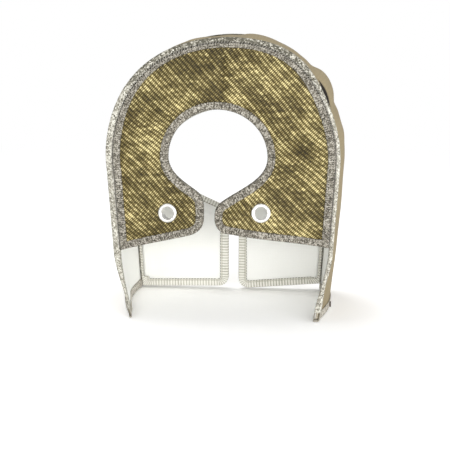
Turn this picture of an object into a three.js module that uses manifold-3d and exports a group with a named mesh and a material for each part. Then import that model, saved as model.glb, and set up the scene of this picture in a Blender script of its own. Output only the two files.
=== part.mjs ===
// Turbo heat blanket: a stitched, padded cover for the turbine housing of a turbocharger.
// A deep arched band is closed by a front panel and a rear panel, each cut like a C: a round opening that runs into
// a slit, so that the blanket is pulled over the housing and laced shut at the eyelets. Every wall is a woven cover,
// a fibre core and a white liner, and knitted tape is folded over each raw edge.
// Millimetres, +X right, +Y from the front panel to the rear panel, +Z up, standing on the tail hems at Z = 0.

import * as THREE from 'three';
import { mergeVertices } from 'three/addons/utils/BufferGeometryUtils.js';
import Module from 'manifold-3d';

const wasm = await Module();
wasm.setup();

// Band that runs from the left foot over the crown to the right foot
const bandDepth = 95;
const crownRadius = 92.5;
const crownHeight = 138;
const crownRise = 3;
const sideTaper = THREE.MathUtils.degToRad(3);
const bandBulge = 5;
const bandPillowShare = 0.6;
const bandRises = [
  { angle: 39, rise: 6, spread: 11 },
  { angle: 70, rise: 1, spread: 11 },
  { angle: 96, rise: -4.2, spread: 15 },
  { angle: 147, rise: 4, spread: 12 },
];
const tailCurl = 9;
const tailCurlHeight = 60;

// Front panel: its two bottom corners, its opening and how far the loose tips spring forward
const frontLeftFoot = 60;
const frontRightFoot = 65;
const frontOpening = {
  centre: new THREE.Vector2(-4.9, 141),
  halfWidth: 41.2,
  rise: 39.3,
  shoulderSlope: 35,
  left: { shoulder: [-23, 113], waist: -16, waistTop: 95, waistBottom: 90, toe: [-29, 76] },
  right: { shoulder: [-1, 104.5], waist: -7, waistTop: 93, waistBottom: 90.5, toe: [3, 78.5] },
};
const tipLift = 11;
const tipLiftTop = 132;
const tipLiftBottom = 68;

// Rear panel: it reaches the floor, with a larger opening and a straight slit
const rearLeftFoot = 1;
const rearRightFoot = 7;
const rearOpening = {
  centre: new THREE.Vector2(-2, 127),
  halfWidth: 58.5,
  rise: 46,
  shoulderSlope: 24,
  left: { shoulder: [-14, 85.5], waist: -1.5, waistTop: 71, waistBottom: 12, toe: [-11, 2.6] },
  right: { shoulder: [20, 85.5], waist: 8, waistTop: 71, waistBottom: 11, toe: [18, 1.2] },
};

// Cloth, fibre and tape
const ribPitch = 3.2;
const ribHeight = 0.7;
const ribAngle = THREE.MathUtils.degToRad(-46);
const coverBack = 0.5;
const panelCore = 2.8;
const panelLiner = 0.6;
const bandCover = 0.6;
const bandCore = 1.8;
const bandLiner = 0.5;
const tapeThickness = 0.6;
const tapeWidth = 6.6;
const tapeNose = 0.9;
const hemHeight = 8;
const layerGap = 0.3;
const drapedGap = 0.5;

// Eyelets and their washers, one in each corner that is laced
const boreRadius = 5;
const barrelWall = 0.6;
const flangeRadius = 8;
const flangeThickness = 1.2;
const washerThickness = 0.8;
const washerRadius = 7.6;
const rollRadius = 6.9;
const frontEyelets = { left: [-46.6, 94.5], right: [31.5, 95.8] };
const rearEyelets = { left: [-35, 67], right: [42, 65] };

// How finely the curves are cut
const crownSteps = 18;
const bandSideSteps = 5;
const frontSideSteps = 5;
const frontRows = 5;
const bandRows = 4;
const ribStep = 14;
const roundSteps = 14;

// Stack of a panel, from its outer face inwards
const coverFace = tapeThickness + layerGap;
const coverBase = coverFace + ribHeight + coverBack;
const coreFace = coverBase + drapedGap;
const coreBase = coreFace + panelCore;
const linerFace = coreBase + drapedGap;
const linerBase = linerFace + panelLiner;
const panelThickness = linerBase + drapedGap + tapeThickness;

// Stack of the band, from the sewn outline outwards
const bandTapeInner = layerGap;
const bandLinerInner = bandTapeInner + tapeThickness + layerGap;
const bandCoreInner = bandLinerInner + bandLiner + layerGap;
const bandCoverInner = bandCoreInner + bandCore + layerGap;
const bandTapeOuter = bandCoverInner + bandCover + layerGap + tapeThickness;
const edgeInset = tapeNose + tapeThickness + layerGap;

const smooth = (t) => THREE.MathUtils.smoothstep(t, 0, 1);
const tangentHeight = crownHeight - crownRadius * Math.sin(sideTaper);

// Half the width of the sewn outline at a height below the crown's arc
function sideReach(height) {
  return crownRadius * Math.cos(sideTaper) - (tangentHeight - height) * Math.tan(sideTaper);
}

// Sewn outline as stations with outward normals, from the left foot over the crown to the right foot
function outline(leftFoot, rightFoot, sideSteps) {
  const stations = [];
  for (let k = 0; k < sideSteps; k++) {
    const z = THREE.MathUtils.lerp(leftFoot, tangentHeight, k / sideSteps);
    stations.push({ x: -sideReach(z), z, nx: -1, nz: 0 });
  }
  for (let k = 0; k <= crownSteps; k++) {
    const turn = Math.PI + sideTaper - (k / crownSteps) * (Math.PI + 2 * sideTaper);
    const nx = Math.cos(turn);
    const nz = Math.sin(turn);
    const rise = crownRise * Math.max(nz, 0) ** 2;
    stations.push({ x: crownRadius * nx, z: crownHeight + crownRadius * nz + rise, nx, nz });
  }
  for (let k = 1; k <= sideSteps; k++) {
    const z = THREE.MathUtils.lerp(tangentHeight, rightFoot, k / sideSteps);
    stations.push({ x: sideReach(z), z, nx: 1, nz: 0 });
  }
  return stations;
}

// How far the middle of the band stands out from its two bound edges at a station
function bulgeAt(station) {
  const angle = THREE.MathUtils.radToDeg(Math.atan2(station.z - crownHeight, station.x));
  return bandRises.reduce(
    (sum, { angle: centre, rise, spread }) => sum + rise * Math.exp(-(((angle - centre) / spread) ** 2)),
    bandBulge,
  );
}

// Depths at which the band bends, from the front tape's inner edge to the rear tape's
const bandDepths = Array.from(
  { length: bandRows + 1 }, (_, k) => THREE.MathUtils.lerp(tapeWidth, bandDepth - tapeWidth, k / bandRows),
);

// Point of the band at a depth and at a distance outside the sewn outline, with the bulge and the curled tails.
// An inner layer takes only a share of the bulge, which leaves room for the core, except in the hems.
function bandPoint(station, depth, distance, share = 1) {
  const across = THREE.MathUtils.clamp((depth - tapeWidth) / (bandDepth - 2 * tapeWidth), 0, 1);
  const loose = smooth((station.z - hemHeight - layerGap) / hemHeight);
  const part = THREE.MathUtils.lerp(1, share, loose);
  const out = distance + part * bulgeAt(station) * Math.sin(Math.PI * across);
  const z = station.z + station.nz * out;
  const curl = tailCurl * smooth(1 - z / tailCurlHeight) * (1 - depth / bandDepth) ** 2;
  return new THREE.Vector3(station.x + station.nx * out - Math.sign(station.x) * curl, depth, z);
}

// How far the front panel springs forward: most at the toes beside the slit, nothing along the band
function frontLift(x, z) {
  const free = sideReach(Math.min(z, tangentHeight)) - tapeWidth;
  const slit = Math.abs(frontOpening.left.waist + frontOpening.right.waist) / 2;
  const inward = THREE.MathUtils.clamp((free - Math.abs(x)) / (free - slit), 0, 1);
  const down = THREE.MathUtils.clamp((tipLiftTop - z) / (tipLiftTop - tipLiftBottom), 0, 1);
  return tipLift * smooth(inward) * smooth(down);
}

// Indexed geometry whose faces point outwards
function closedGeometry(points, index) {
  const geometry = new THREE.BufferGeometry();
  geometry.setAttribute('position', new THREE.Float32BufferAttribute(points.flatMap((p) => [p.x, p.y, p.z]), 3));
  let volume = 0;
  for (let k = 0; k < index.length; k += 3) {
    const [a, b, c] = [points[index[k]], points[index[k + 1]], points[index[k + 2]]];
    volume += a.dot(new THREE.Vector3().crossVectors(b, c));
  }
  geometry.setIndex(volume < 0 ? index.toReversed() : index);
  geometry.computeVertexNormals();
  return geometry;
}

// Closed slab between two grids that share their rows and columns
function slab(face, back) {
  const columns = face.length;
  const rows = face[0].length;
  const points = [...face.flat(), ...back.flat()];
  const at = (side, i, j) => side * columns * rows + i * rows + j;
  const index = [];
  const quad = (a, b, c, d) => index.push(a, b, c, a, c, d);
  for (let i = 0; i < columns - 1; i++) {
    for (let j = 0; j < rows - 1; j++) {
      quad(at(0, i, j), at(0, i + 1, j), at(0, i + 1, j + 1), at(0, i, j + 1));
      quad(at(1, i, j), at(1, i, j + 1), at(1, i + 1, j + 1), at(1, i + 1, j));
    }
    quad(at(0, i, 0), at(1, i, 0), at(1, i + 1, 0), at(0, i + 1, 0));
    quad(at(0, i, rows - 1), at(0, i + 1, rows - 1), at(1, i + 1, rows - 1), at(1, i, rows - 1));
  }
  for (let j = 0; j < rows - 1; j++) {
    quad(at(0, 0, j), at(0, 0, j + 1), at(1, 0, j + 1), at(1, 0, j));
    quad(at(0, columns - 1, j), at(1, columns - 1, j), at(1, columns - 1, j + 1), at(0, columns - 1, j + 1));
  }
  return closedGeometry(points, index);
}

// Closed loft of one flat section through a row of rings; a ring that closes on itself needs no end caps
function loft(rings, section, closed) {
  const count = section.length;
  const index = [];
  const spans = closed ? rings.length : rings.length - 1;
  for (let k = 0; k < spans; k++) {
    const here = k * count;
    const next = ((k + 1) % rings.length) * count;
    for (let p = 0; p < count; p++) {
      const q = (p + 1) % count;
      index.push(here + p, next + p, next + q, here + p, next + q, here + q);
    }
  }
  if (!closed) {
    const clockwise = THREE.ShapeUtils.isClockWise(section);
    const end = (rings.length - 1) * count;
    for (const corners of THREE.ShapeUtils.triangulateShape(section, [])) {
      const same = THREE.ShapeUtils.isClockWise(corners.map((k) => section[k])) === clockwise;
      const [a, b, c] = same ? corners : corners.toReversed();
      index.push(a, b, c, end + c, end + b, end + a);
    }
  }
  return closedGeometry(rings.flat(), index);
}

// Folded tape in section: it wraps an edge that lies at tapeNose + tapeThickness from its nose
function foldedTape(width, inner, outer) {
  const middle = (inner + outer) / 2;
  const floor = tapeNose + tapeThickness;
  return [
    [width, inner], [tapeNose, inner], [0, middle], [tapeNose, outer], [width, outer],
    [width, outer - tapeThickness], [floor, outer - tapeThickness], [floor, inner + tapeThickness],
    [width, inner + tapeThickness],
  ].map(([along, across]) => new THREE.Vector2(along, across));
}

// Half of a C-shaped opening, from the toe of the bottom edge up the slit to the shoulder, then to the hole's side
function openingHalf(opening, side, sign, corner) {
  const hole = new THREE.Vector2(opening.centre.x + sign * opening.halfWidth, opening.centre.y);
  const shoulder = new THREE.Vector2(...side.shoulder);
  const waistTop = new THREE.Vector2(side.waist, side.waistTop);
  const waistBottom = new THREE.Vector2(side.waist, side.waistBottom);
  const toe = new THREE.Vector2(...side.toe);
  const slope = THREE.MathUtils.degToRad(opening.shoulderSlope);
  const over = new THREE.Vector2(sign * Math.cos(slope), Math.sin(slope));
  const along = corner.clone().sub(toe).normalize();
  const handle = (from, direction, length) => from.clone().addScaledVector(direction, length);
  const up = new THREE.Vector2(0, 1);
  const tip = new THREE.CurvePath();
  const toeRun = Math.abs(toe.x - side.waist);
  const tipRun = shoulder.distanceTo(waistTop);
  tip.add(new THREE.CubicBezierCurve(
    toe, handle(toe, along, -0.55 * toeRun), handle(waistBottom, up, -0.55 * (side.waistBottom - toe.y)), waistBottom,
  ));
  tip.add(new THREE.LineCurve(waistBottom, waistTop));
  tip.add(new THREE.CubicBezierCurve(
    waistTop, handle(waistTop, up, 0.45 * tipRun), handle(shoulder, over, -0.4 * tipRun), shoulder,
  ));
  const flank = new THREE.CubicBezierCurve(
    shoulder, handle(shoulder, over, 0.5 * Math.abs(hole.x - shoulder.x)),
    handle(hole, up, -0.5 * (hole.y - shoulder.y)), hole,
  );
  return { tip, flank };
}

// Inner edge of a panel from its left toe over the opening to its right toe, with as many points as the outline
function openingEdge(opening, sideSteps, leftCorner, rightCorner) {
  const left = openingHalf(opening, opening.left, -1, leftCorner);
  const right = openingHalf(opening, opening.right, 1, rightCorner);
  const hole = new THREE.CurvePath();
  hole.add(left.flank);
  const { centre, halfWidth, rise } = opening;
  hole.add(new THREE.EllipseCurve(centre.x, centre.y, halfWidth, rise, Math.PI, 0, true));
  hole.add(new THREE.CubicBezierCurve(right.flank.v3, right.flank.v2, right.flank.v1, right.flank.v0));
  return [
    ...left.tip.getSpacedPoints(sideSteps).slice(0, -1),
    ...hole.getSpacedPoints(crownSteps),
    ...right.tip.getSpacedPoints(sideSteps).reverse().slice(1),
  ];
}

// Perimeter of a panel: opening edge, right bottom edge, sewn outline backwards, left bottom edge
function perimeter(inner, outer, rows) {
  const rungs = (from, to) => Array.from({ length: rows - 1 }, (_, k) => from.clone().lerp(to, (k + 1) / rows));
  return [
    ...inner, ...rungs(inner.at(-1), outer.at(-1)),
    ...outer.toReversed(), ...rungs(outer[0], inner[0]),
  ];
}

// Perimeter moved inwards by a distance, with mitred corners
function inset(loop, distance) {
  return loop.map((point, k) => {
    const before = point.clone().sub(loop.at(k - 1)).normalize();
    const after = loop[(k + 1) % loop.length].clone().sub(point).normalize();
    const normal = new THREE.Vector2(-before.y, before.x);
    const mitre = new THREE.Vector2(-before.y - after.y, before.x + after.x).normalize();
    return point.clone().addScaledVector(mitre, distance / mitre.dot(normal));
  });
}

// Ladder of points between the two long edges of an inset perimeter
function ladder(loop, rows) {
  const columns = (loop.length - 2 * (rows - 1)) / 2;
  const inner = loop.slice(0, columns);
  const outer = loop.slice(columns + rows - 1, 2 * columns + rows - 1).reverse();
  return inner.map((point, i) => Array.from({ length: rows + 1 }, (_, j) => point.clone().lerp(outer[i], j / rows)));
}

// Solid of a closed geometry, and back again
function solidOf(geometry) {
  const bare = geometry.clone();
  bare.deleteAttribute('normal');
  bare.deleteAttribute('uv');
  const merged = mergeVertices(bare, 1e-4);
  const mesh = new wasm.Mesh({
    numProp: 3,
    vertProperties: new Float32Array(merged.attributes.position.array),
    triVerts: new Uint32Array(merged.index.array),
  });
  return new wasm.Manifold(mesh);
}

function geometryOf(solid) {
  const mesh = solid.getMesh();
  const points = [];
  for (let k = 0; k < mesh.vertProperties.length; k += mesh.numProp) {
    points.push(new THREE.Vector3().fromArray(mesh.vertProperties, k));
  }
  return closedGeometry(points, Array.from(mesh.triVerts));
}

// Upright prism along Y over a flat outline in X and Z
function prism(loop, from, to) {
  const geometry = new THREE.ExtrudeGeometry(new THREE.Shape(loop), { depth: to - from, bevelEnabled: false });
  return solidOf(geometry.rotateX(Math.PI / 2).translate(0, to, 0));
}

// Place of an eyelet on a panel, square to the cloth there
function eyeletSeat([x, z], lift) {
  const slopeX = (lift(x + 1, z) - lift(x - 1, z)) / 2;
  const slopeZ = (lift(x, z + 1) - lift(x, z - 1)) / 2;
  const seat = new THREE.Group();
  seat.position.set(x, coverFace - lift(x, z), z);
  const outwards = new THREE.Vector3(-slopeX, -1, -slopeZ).normalize();
  seat.quaternion.setFromUnitVectors(new THREE.Vector3(0, -1, 0), outwards);
  seat.updateMatrix();
  return seat;
}

// Cuts a layer of cloth open at each eyelet's seat
function pierce(geometry, seats) {
  const clearance = boreRadius + barrelWall + 2 * layerGap;
  return geometryOf(Object.values(seats).reduce((rest, seat) => {
    const cutter = new THREE.CylinderGeometry(clearance, clearance, 4 * panelThickness, roundSteps);
    return rest.subtract(solidOf(cutter.rotateY(Math.PI / roundSteps).applyMatrix4(seat.matrix)));
  }, solidOf(geometry)));
}

// Twill block: diagonal ribs on a backing, swept along the wales and long enough to cover a whole panel
function twillBlock(alongStep) {
  const span = 2 * (crownRadius + crownHeight) * Math.SQRT1_2;
  const ribs = 2 * Math.ceil(span / ribPitch / 2);
  const width = ribs * ribPitch;
  const profile = [];
  for (let k = 0; k <= ribs; k++) {
    profile.push(new THREE.Vector2(k * ribPitch - width / 2, ribHeight));
    if (k < ribs) profile.push(new THREE.Vector2((k + 0.5) * ribPitch - width / 2, 0));
  }
  for (let k = ribs; k >= 0; k -= 2) {
    profile.push(new THREE.Vector2(k * ribPitch - width / 2, ribHeight + coverBack));
  }
  const steps = Math.max(1, Math.round(width / alongStep));
  const block = new THREE.ExtrudeGeometry(new THREE.Shape(profile), { depth: width, steps, bevelEnabled: false });
  block.translate(0, 0, -width / 2).rotateY(Math.PI / 2 + ribAngle);
  return solidOf(block.translate(0, coverFace, crownHeight));
}

// Moves every point of a geometry by a rule and refreshes its normals
function reshape(geometry, rule) {
  const place = geometry.attributes.position;
  const point = new THREE.Vector3();
  for (let k = 0; k < place.count; k++) {
    rule(point.fromBufferAttribute(place, k));
    place.setXYZ(k, point.x, point.y, point.z);
  }
  geometry.computeVertexNormals();
  return geometry;
}

// The four cloth pieces of a panel, with its outer face at Y = 0 where it isn't sprung forward
function panelPieces({ opening, stations, sideSteps, rows, alongStep, lift, seats }) {
  const outer = stations.map(({ x, z }) => new THREE.Vector2(x, z));
  const inner = openingEdge(opening, sideSteps, outer[0], outer.at(-1));
  const edge = perimeter(inner, outer, rows);
  const cut = inset(edge, edgeInset);
  const grid = ladder(cut, rows);
  const spring = (geometry) => reshape(geometry, (point) => point.setY(point.y - lift(point.x, point.z)));
  const layer = (depth) => grid.map((rung) => rung.map((p) => new THREE.Vector3(p.x, depth, p.y)));
  const sheet = (face, back) => pierce(spring(slab(layer(face), layer(back))), seats);
  const twill = geometryOf(twillBlock(alongStep).intersect(prism(cut, 0, panelThickness)));
  const section = foldedTape(tapeWidth, 0, panelThickness);
  const offsets = new Map(section.map(({ x }) => [x, inset(edge, x)]));
  const rings = edge.map((_, k) => section.map(
    ({ x, y }) => new THREE.Vector3(offsets.get(x)[k].x, y, offsets.get(x)[k].y),
  ));
  return {
    cover: pierce(spring(twill), seats),
    insulation: sheet(coreFace, coreBase),
    liner: sheet(linerFace, linerBase),
    binding: spring(loft(rings, section, true)),
  };
}

// One layer of the band between its bound edges
function bandLayer(inner, outer, innerShare, outerShare) {
  const depths = [edgeInset, ...bandDepths, bandDepth - edgeInset];
  const hemTop = hemHeight + layerGap;
  const foot = (sign) => ({ x: sign * sideReach(edgeInset), z: edgeInset, nx: sign, nz: 0 });
  const stations = [foot(-1), ...outline(hemTop, hemTop, bandSideSteps), foot(1)];
  const grid = (distance, share) => stations.map((at) => depths.map((y) => bandPoint(at, y, distance, share)));
  return slab(grid(inner, innerShare), grid(outer, outerShare));
}

// Tape folded over the front or rear edge of the band, from hem to hem
function bandTape(toDepth) {
  const section = foldedTape(tapeWidth, bandTapeInner, bandTapeOuter);
  const hemTop = hemHeight + layerGap;
  const rings = outline(hemTop, hemTop, bandSideSteps).map(
    (at) => section.map(({ x, y }) => bandPoint(at, toDepth(x), y)),
  );
  return loft(rings, section, false);
}

// Hem tape under a tail: flat where it stands on the floor
function tailHem(sign) {
  const chamfer = tapeNose / 2;
  const fold = tapeNose + tapeThickness;
  const [inner, outer] = [bandTapeInner, bandTapeOuter];
  const section = [
    [hemHeight, inner], [chamfer, inner], [0, inner + chamfer], [0, outer - chamfer], [chamfer, outer],
    [hemHeight, outer], [hemHeight, outer - tapeThickness], [fold, outer - tapeThickness],
    [fold, inner + tapeThickness], [hemHeight, inner + tapeThickness],
  ].map(([z, distance]) => new THREE.Vector2(z, distance));
  const rings = [0, ...bandDepths, bandDepth].map((depth) => section.map(({ x: z, y: distance }) => bandPoint(
    { x: sign * sideReach(z), z, nx: sign, nz: 0 }, depth, distance,
  )));
  return loft(rings, section, false);
}

// Ring turned about Y from a closed profile of radius and depth
function turned(profile) {
  const points = [...profile, profile[0]].map(([radius, depth]) => new THREE.Vector2(radius, depth));
  const bare = new THREE.LatheGeometry(points, roundSteps);
  bare.deleteAttribute('normal');
  bare.deleteAttribute('uv');
  const merged = mergeVertices(bare, 1e-4);
  const place = merged.attributes.position;
  const corners = Array.from({ length: place.count }, (_, k) => new THREE.Vector3().fromBufferAttribute(place, k));
  return closedGeometry(corners, Array.from(merged.index.array));
}

// Depths along an eyelet, from the cover's rib tops at 0
const flangeSeat = -layerGap;
const washerSeat = linerBase - coverFace + layerGap;
const rollSeat = washerSeat + washerThickness + layerGap;

function eyeletGeometry() {
  const lip = flangeThickness / 3;
  const face = flangeSeat - flangeThickness;
  const barrel = boreRadius + barrelWall;
  return turned([
    [boreRadius, face + lip], [boreRadius + lip, face], [flangeRadius - lip, face], [flangeRadius, face + lip],
    [flangeRadius, flangeSeat], [barrel, flangeSeat], [barrel, rollSeat], [rollRadius, rollSeat],
    [rollRadius, rollSeat + barrelWall], [boreRadius, rollSeat + barrelWall],
  ]);
}

function washerGeometry() {
  const inner = boreRadius + barrelWall + layerGap;
  return turned([
    [inner, washerSeat], [washerRadius, washerSeat],
    [washerRadius, washerSeat + washerThickness], [inner, washerSeat + washerThickness],
  ]);
}

// Finishes
const finish = (color, roughness, metalness = 0) => new THREE.MeshStandardMaterial({ color, roughness, metalness });
const finishes = {
  twill: () => finish(0x9b8d60, 0.62, 0.25),
  bandCloth: () => finish(0xb4a98c, 0.75),
  fibre: () => finish(0xe6dfcf, 0.95),
  liner: () => finish(0xf7f7f1, 0.8),
  knitTape: () => finish(0x9f9584, 0.85),
  paleTape: () => finish(0xd4d3c8, 0.85),
  nickel: () => finish(0xe2e0da, 0.28, 0.9),
};

const blanket = new THREE.Group();

function addPiece(name, geometry, material, parent = blanket) {
  const mesh = new THREE.Mesh(geometry, material);
  mesh.name = name;
  parent.add(mesh);
}

// An eyelet and its washer at each seat of a panel
function addEyelets(panel, seats, parent) {
  for (const [side, seat] of Object.entries(seats)) {
    addPiece(`${panel}_${side}_eyelet`, eyeletGeometry(), finishes.nickel(), seat);
    addPiece(`${panel}_${side}_washer`, washerGeometry(), finishes.nickel(), seat);
    parent.add(seat);
  }
}

// Front panel, sprung forward at its tips
const frontSeats = {
  left: eyeletSeat(frontEyelets.left, frontLift),
  right: eyeletSeat(frontEyelets.right, frontLift),
};
const front = panelPieces({
  opening: frontOpening,
  stations: outline(frontLeftFoot, frontRightFoot, frontSideSteps),
  sideSteps: frontSideSteps,
  rows: frontRows,
  alongStep: ribStep,
  lift: frontLift,
  seats: frontSeats,
});
addPiece('front_outer_cover', front.cover, finishes.twill());
addPiece('front_insulation', front.insulation, finishes.fibre());
addPiece('front_liner', front.liner, finishes.liner());
addPiece('front_panel_binding', front.binding, finishes.knitTape());
addEyelets('front', frontSeats, blanket);

// Rear panel: the same stack, flat and facing the other way, so left and right change sides in its own group
const rearPanel = new THREE.Group();
rearPanel.position.y = bandDepth;
rearPanel.rotation.z = Math.PI;
blanket.add(rearPanel);
const mirrored = ({ shoulder, waist, waistTop, waistBottom, toe }) => ({
  shoulder: [-shoulder[0], shoulder[1]], waist: -waist, waistTop, waistBottom, toe: [-toe[0], toe[1]],
});
const flat = () => 0;
const rearSeats = {
  left: eyeletSeat([-rearEyelets.left[0], rearEyelets.left[1]], flat),
  right: eyeletSeat([-rearEyelets.right[0], rearEyelets.right[1]], flat),
};
const rear = panelPieces({
  opening: {
    ...rearOpening,
    centre: new THREE.Vector2(-rearOpening.centre.x, rearOpening.centre.y),
    left: mirrored(rearOpening.right),
    right: mirrored(rearOpening.left),
  },
  stations: outline(rearRightFoot, rearLeftFoot, bandSideSteps),
  sideSteps: bandSideSteps,
  rows: 1,
  alongStep: Infinity,
  lift: flat,
  seats: rearSeats,
});
addPiece('rear_outer_cover', rear.cover, finishes.twill(), rearPanel);
addPiece('rear_insulation', rear.insulation, finishes.fibre(), rearPanel);
addPiece('rear_liner', rear.liner, finishes.liner(), rearPanel);
addPiece('rear_panel_binding', rear.binding, finishes.paleTape(), rearPanel);
addEyelets('rear', rearSeats, rearPanel);

// Band over the top and down both tails
const bandCoreOuter = bandCoreInner + bandCore;
addPiece('band_outer_cover', bandLayer(bandCoverInner, bandCoverInner + bandCover, 1, 1), finishes.bandCloth());
addPiece('band_insulation', bandLayer(bandCoreInner, bandCoreOuter, bandPillowShare, 1), finishes.fibre());
addPiece(
  'band_liner',
  bandLayer(bandLinerInner, bandLinerInner + bandLiner, bandPillowShare, bandPillowShare),
  finishes.liner(),
);
addPiece('band_front_binding', bandTape((depth) => depth), finishes.paleTape());
addPiece('band_rear_binding', bandTape((depth) => bandDepth - depth), finishes.paleTape());
addPiece('left_tail_hem', tailHem(-1), finishes.paleTape());
addPiece('right_tail_hem', tailHem(1), finishes.paleTape());

// Origin at the middle of the footprint, on the floor
const extent = new THREE.Box3().setFromObject(blanket);
const middle = extent.getCenter(new THREE.Vector3());
blanket.position.set(-middle.x, -middle.y, -extent.min.z);

export default blanket;
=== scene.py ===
"""Turbo heat blanket dressed for rendering: woven covers, folded tapes, fibre cores, liners and eyelets.

Shapes are worked out in millimetres, with the front panel's outer face at Y = 0 and the floor at Z = 0.
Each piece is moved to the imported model's frame, in metres, when its mesh is made.
"""

import logging
import math
from dataclasses import dataclass, field
from enum import Enum

import bpy
import numpy as np
from mathutils import Matrix, Vector


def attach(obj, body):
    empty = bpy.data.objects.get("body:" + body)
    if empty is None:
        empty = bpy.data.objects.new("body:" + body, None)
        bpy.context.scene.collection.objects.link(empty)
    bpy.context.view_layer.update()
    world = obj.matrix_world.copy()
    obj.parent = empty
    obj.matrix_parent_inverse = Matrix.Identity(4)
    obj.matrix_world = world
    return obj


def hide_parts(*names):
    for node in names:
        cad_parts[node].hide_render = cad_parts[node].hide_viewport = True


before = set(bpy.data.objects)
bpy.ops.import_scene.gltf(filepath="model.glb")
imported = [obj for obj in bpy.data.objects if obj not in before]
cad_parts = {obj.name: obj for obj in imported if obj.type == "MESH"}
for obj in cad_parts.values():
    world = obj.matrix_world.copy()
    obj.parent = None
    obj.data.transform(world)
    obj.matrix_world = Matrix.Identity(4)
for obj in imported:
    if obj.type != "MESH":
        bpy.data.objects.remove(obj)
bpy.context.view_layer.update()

log = logging.getLogger("blanket")

MILLIMETRE = 0.001
FRONT_PLANE = -42.759
SEED = 7
HOLE_RADIUS = 6.3
FOCAL_PIXELS = 840.0
PHOTO_PIXELS = 450.0
SENSOR = 36.0


def smooth(t: np.ndarray) -> np.ndarray:
    """Smooth step from 0 to 1."""
    t = np.clip(t, 0.0, 1.0)
    return t * t * (3.0 - 2.0 * t)


def lerp(a: np.ndarray, b: np.ndarray, t: np.ndarray) -> np.ndarray:
    """Straight blend from a to b."""
    return a + (b - a) * t


def cubic(a: np.ndarray, b: np.ndarray, c: np.ndarray, d: np.ndarray, count: int = 60) -> np.ndarray:
    """Points along a cubic Bezier curve."""
    t = np.linspace(0.0, 1.0, count)[:, None]
    return (1 - t) ** 3 * a + 3 * (1 - t) ** 2 * t * b + 3 * (1 - t) * t ** 2 * c + t ** 3 * d


def evenly(points: np.ndarray, step: float) -> np.ndarray:
    """Resample an open line of points to even steps.

    Args:
        points: Points of the line, in order.
        step: The longest step allowed.

    Returns:
        The resampled points, with both ends kept.
    """
    travel = np.concatenate([[0.0], np.cumsum(np.linalg.norm(np.diff(points, axis=0), axis=1))])
    count = max(2, int(math.ceil(travel[-1] / step)) + 1)
    wanted = np.linspace(0.0, travel[-1], count)
    return np.stack([np.interp(wanted, travel, points[:, k]) for k in range(points.shape[1])], axis=1)


@dataclass(frozen=True)
class Rise:
    """A soft hump of the band at an angle round the crown."""

    angle: float
    rise: float
    spread: float


def humps(angle: np.ndarray, rises: tuple[Rise, ...]) -> np.ndarray:
    """Height of soft humps together at angles round the crown."""
    return np.sum([r.rise * np.exp(-(((angle - r.angle) / r.spread) ** 2)) for r in rises], axis=0)


@dataclass(frozen=True)
class Fold:
    """A small fold that crosses the band, leaning as it goes back."""

    angle: float
    width: float
    rise: float
    lean: float


@dataclass(frozen=True)
class SlitSide:
    """One side of a slit: shoulder, narrowest part and the toe where the bottom edge begins."""

    shoulder: tuple[float, float]
    waist: float
    waist_top: float
    waist_bottom: float
    toe: tuple[float, float]


@dataclass(frozen=True)
class Opening:
    """A round opening that runs into a slit."""

    centre: tuple[float, float]
    half_width: float
    rise: float
    slope: float
    left: SlitSide
    right: SlitSide

    def half(self, side: SlitSide, sign: int, corner: np.ndarray) -> tuple[np.ndarray, np.ndarray]:
        """Tip and flank of one side.

        Args:
            side: The side's own points.
            sign: -1 for the left side and 1 for the right side.
            corner: The panel's bottom corner on that side.

        Returns:
            The tip from the toe to the shoulder, and the flank from the shoulder to the hole's side.
        """
        hole = np.array([self.centre[0] + sign * self.half_width, self.centre[1]])
        shoulder, toe = np.array(side.shoulder), np.array(side.toe)
        top, bottom = np.array([side.waist, side.waist_top]), np.array([side.waist, side.waist_bottom])
        slope = math.radians(self.slope)
        over, up = np.array([sign * math.cos(slope), math.sin(slope)]), np.array([0.0, 1.0])
        along = (corner - toe) / np.linalg.norm(corner - toe)
        toe_run, tip_run = abs(toe[0] - side.waist), np.linalg.norm(shoulder - top)
        lower = cubic(toe, toe - 0.55 * toe_run * along, bottom - up * 0.55 * (bottom[1] - toe[1]), bottom)
        upper = cubic(top, top + up * 0.45 * tip_run, shoulder - 0.4 * tip_run * over, shoulder)
        reach = abs(hole[0] - shoulder[0])
        below = hole - up * 0.5 * (hole[1] - shoulder[1])
        flank = cubic(shoulder, shoulder + 0.5 * reach * over, below, hole)
        return np.concatenate([lower, upper]), flank

    def edge(self, left_corner: np.ndarray, right_corner: np.ndarray, step: float) -> np.ndarray:
        """Edge from the left toe over the hole to the right toe.

        Args:
            left_corner: The panel's left bottom corner.
            right_corner: The panel's right bottom corner.
            step: The longest step between points.

        Returns:
            Points in X and Z.
        """
        left_tip, left_flank = self.half(self.left, -1, left_corner)
        right_tip, right_flank = self.half(self.right, 1, right_corner)
        turn = np.linspace(math.pi, 0.0, 120)
        arch = np.stack([self.centre[0] + self.half_width * np.cos(turn),
                         self.centre[1] + self.rise * np.sin(turn)], axis=1)
        line = np.concatenate([left_tip, left_flank, arch, right_flank[::-1], right_tip[::-1]])
        keep = np.concatenate([[True], np.linalg.norm(np.diff(line, axis=0), axis=1) > 1e-6])
        return evenly(line[keep], step)


@dataclass(frozen=True)
class Stations:
    """Points of the sewn outline with their outward normals."""

    x: np.ndarray
    z: np.ndarray
    nx: np.ndarray
    nz: np.ndarray

    def points(self) -> np.ndarray:
        """The stations as points in X and Z."""
        return np.stack([self.x, self.z], axis=1)

    def travel(self) -> np.ndarray:
        """Distance along the outline."""
        return np.concatenate([[0.0], np.cumsum(np.linalg.norm(np.diff(self.points(), axis=0), axis=1))])


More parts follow.
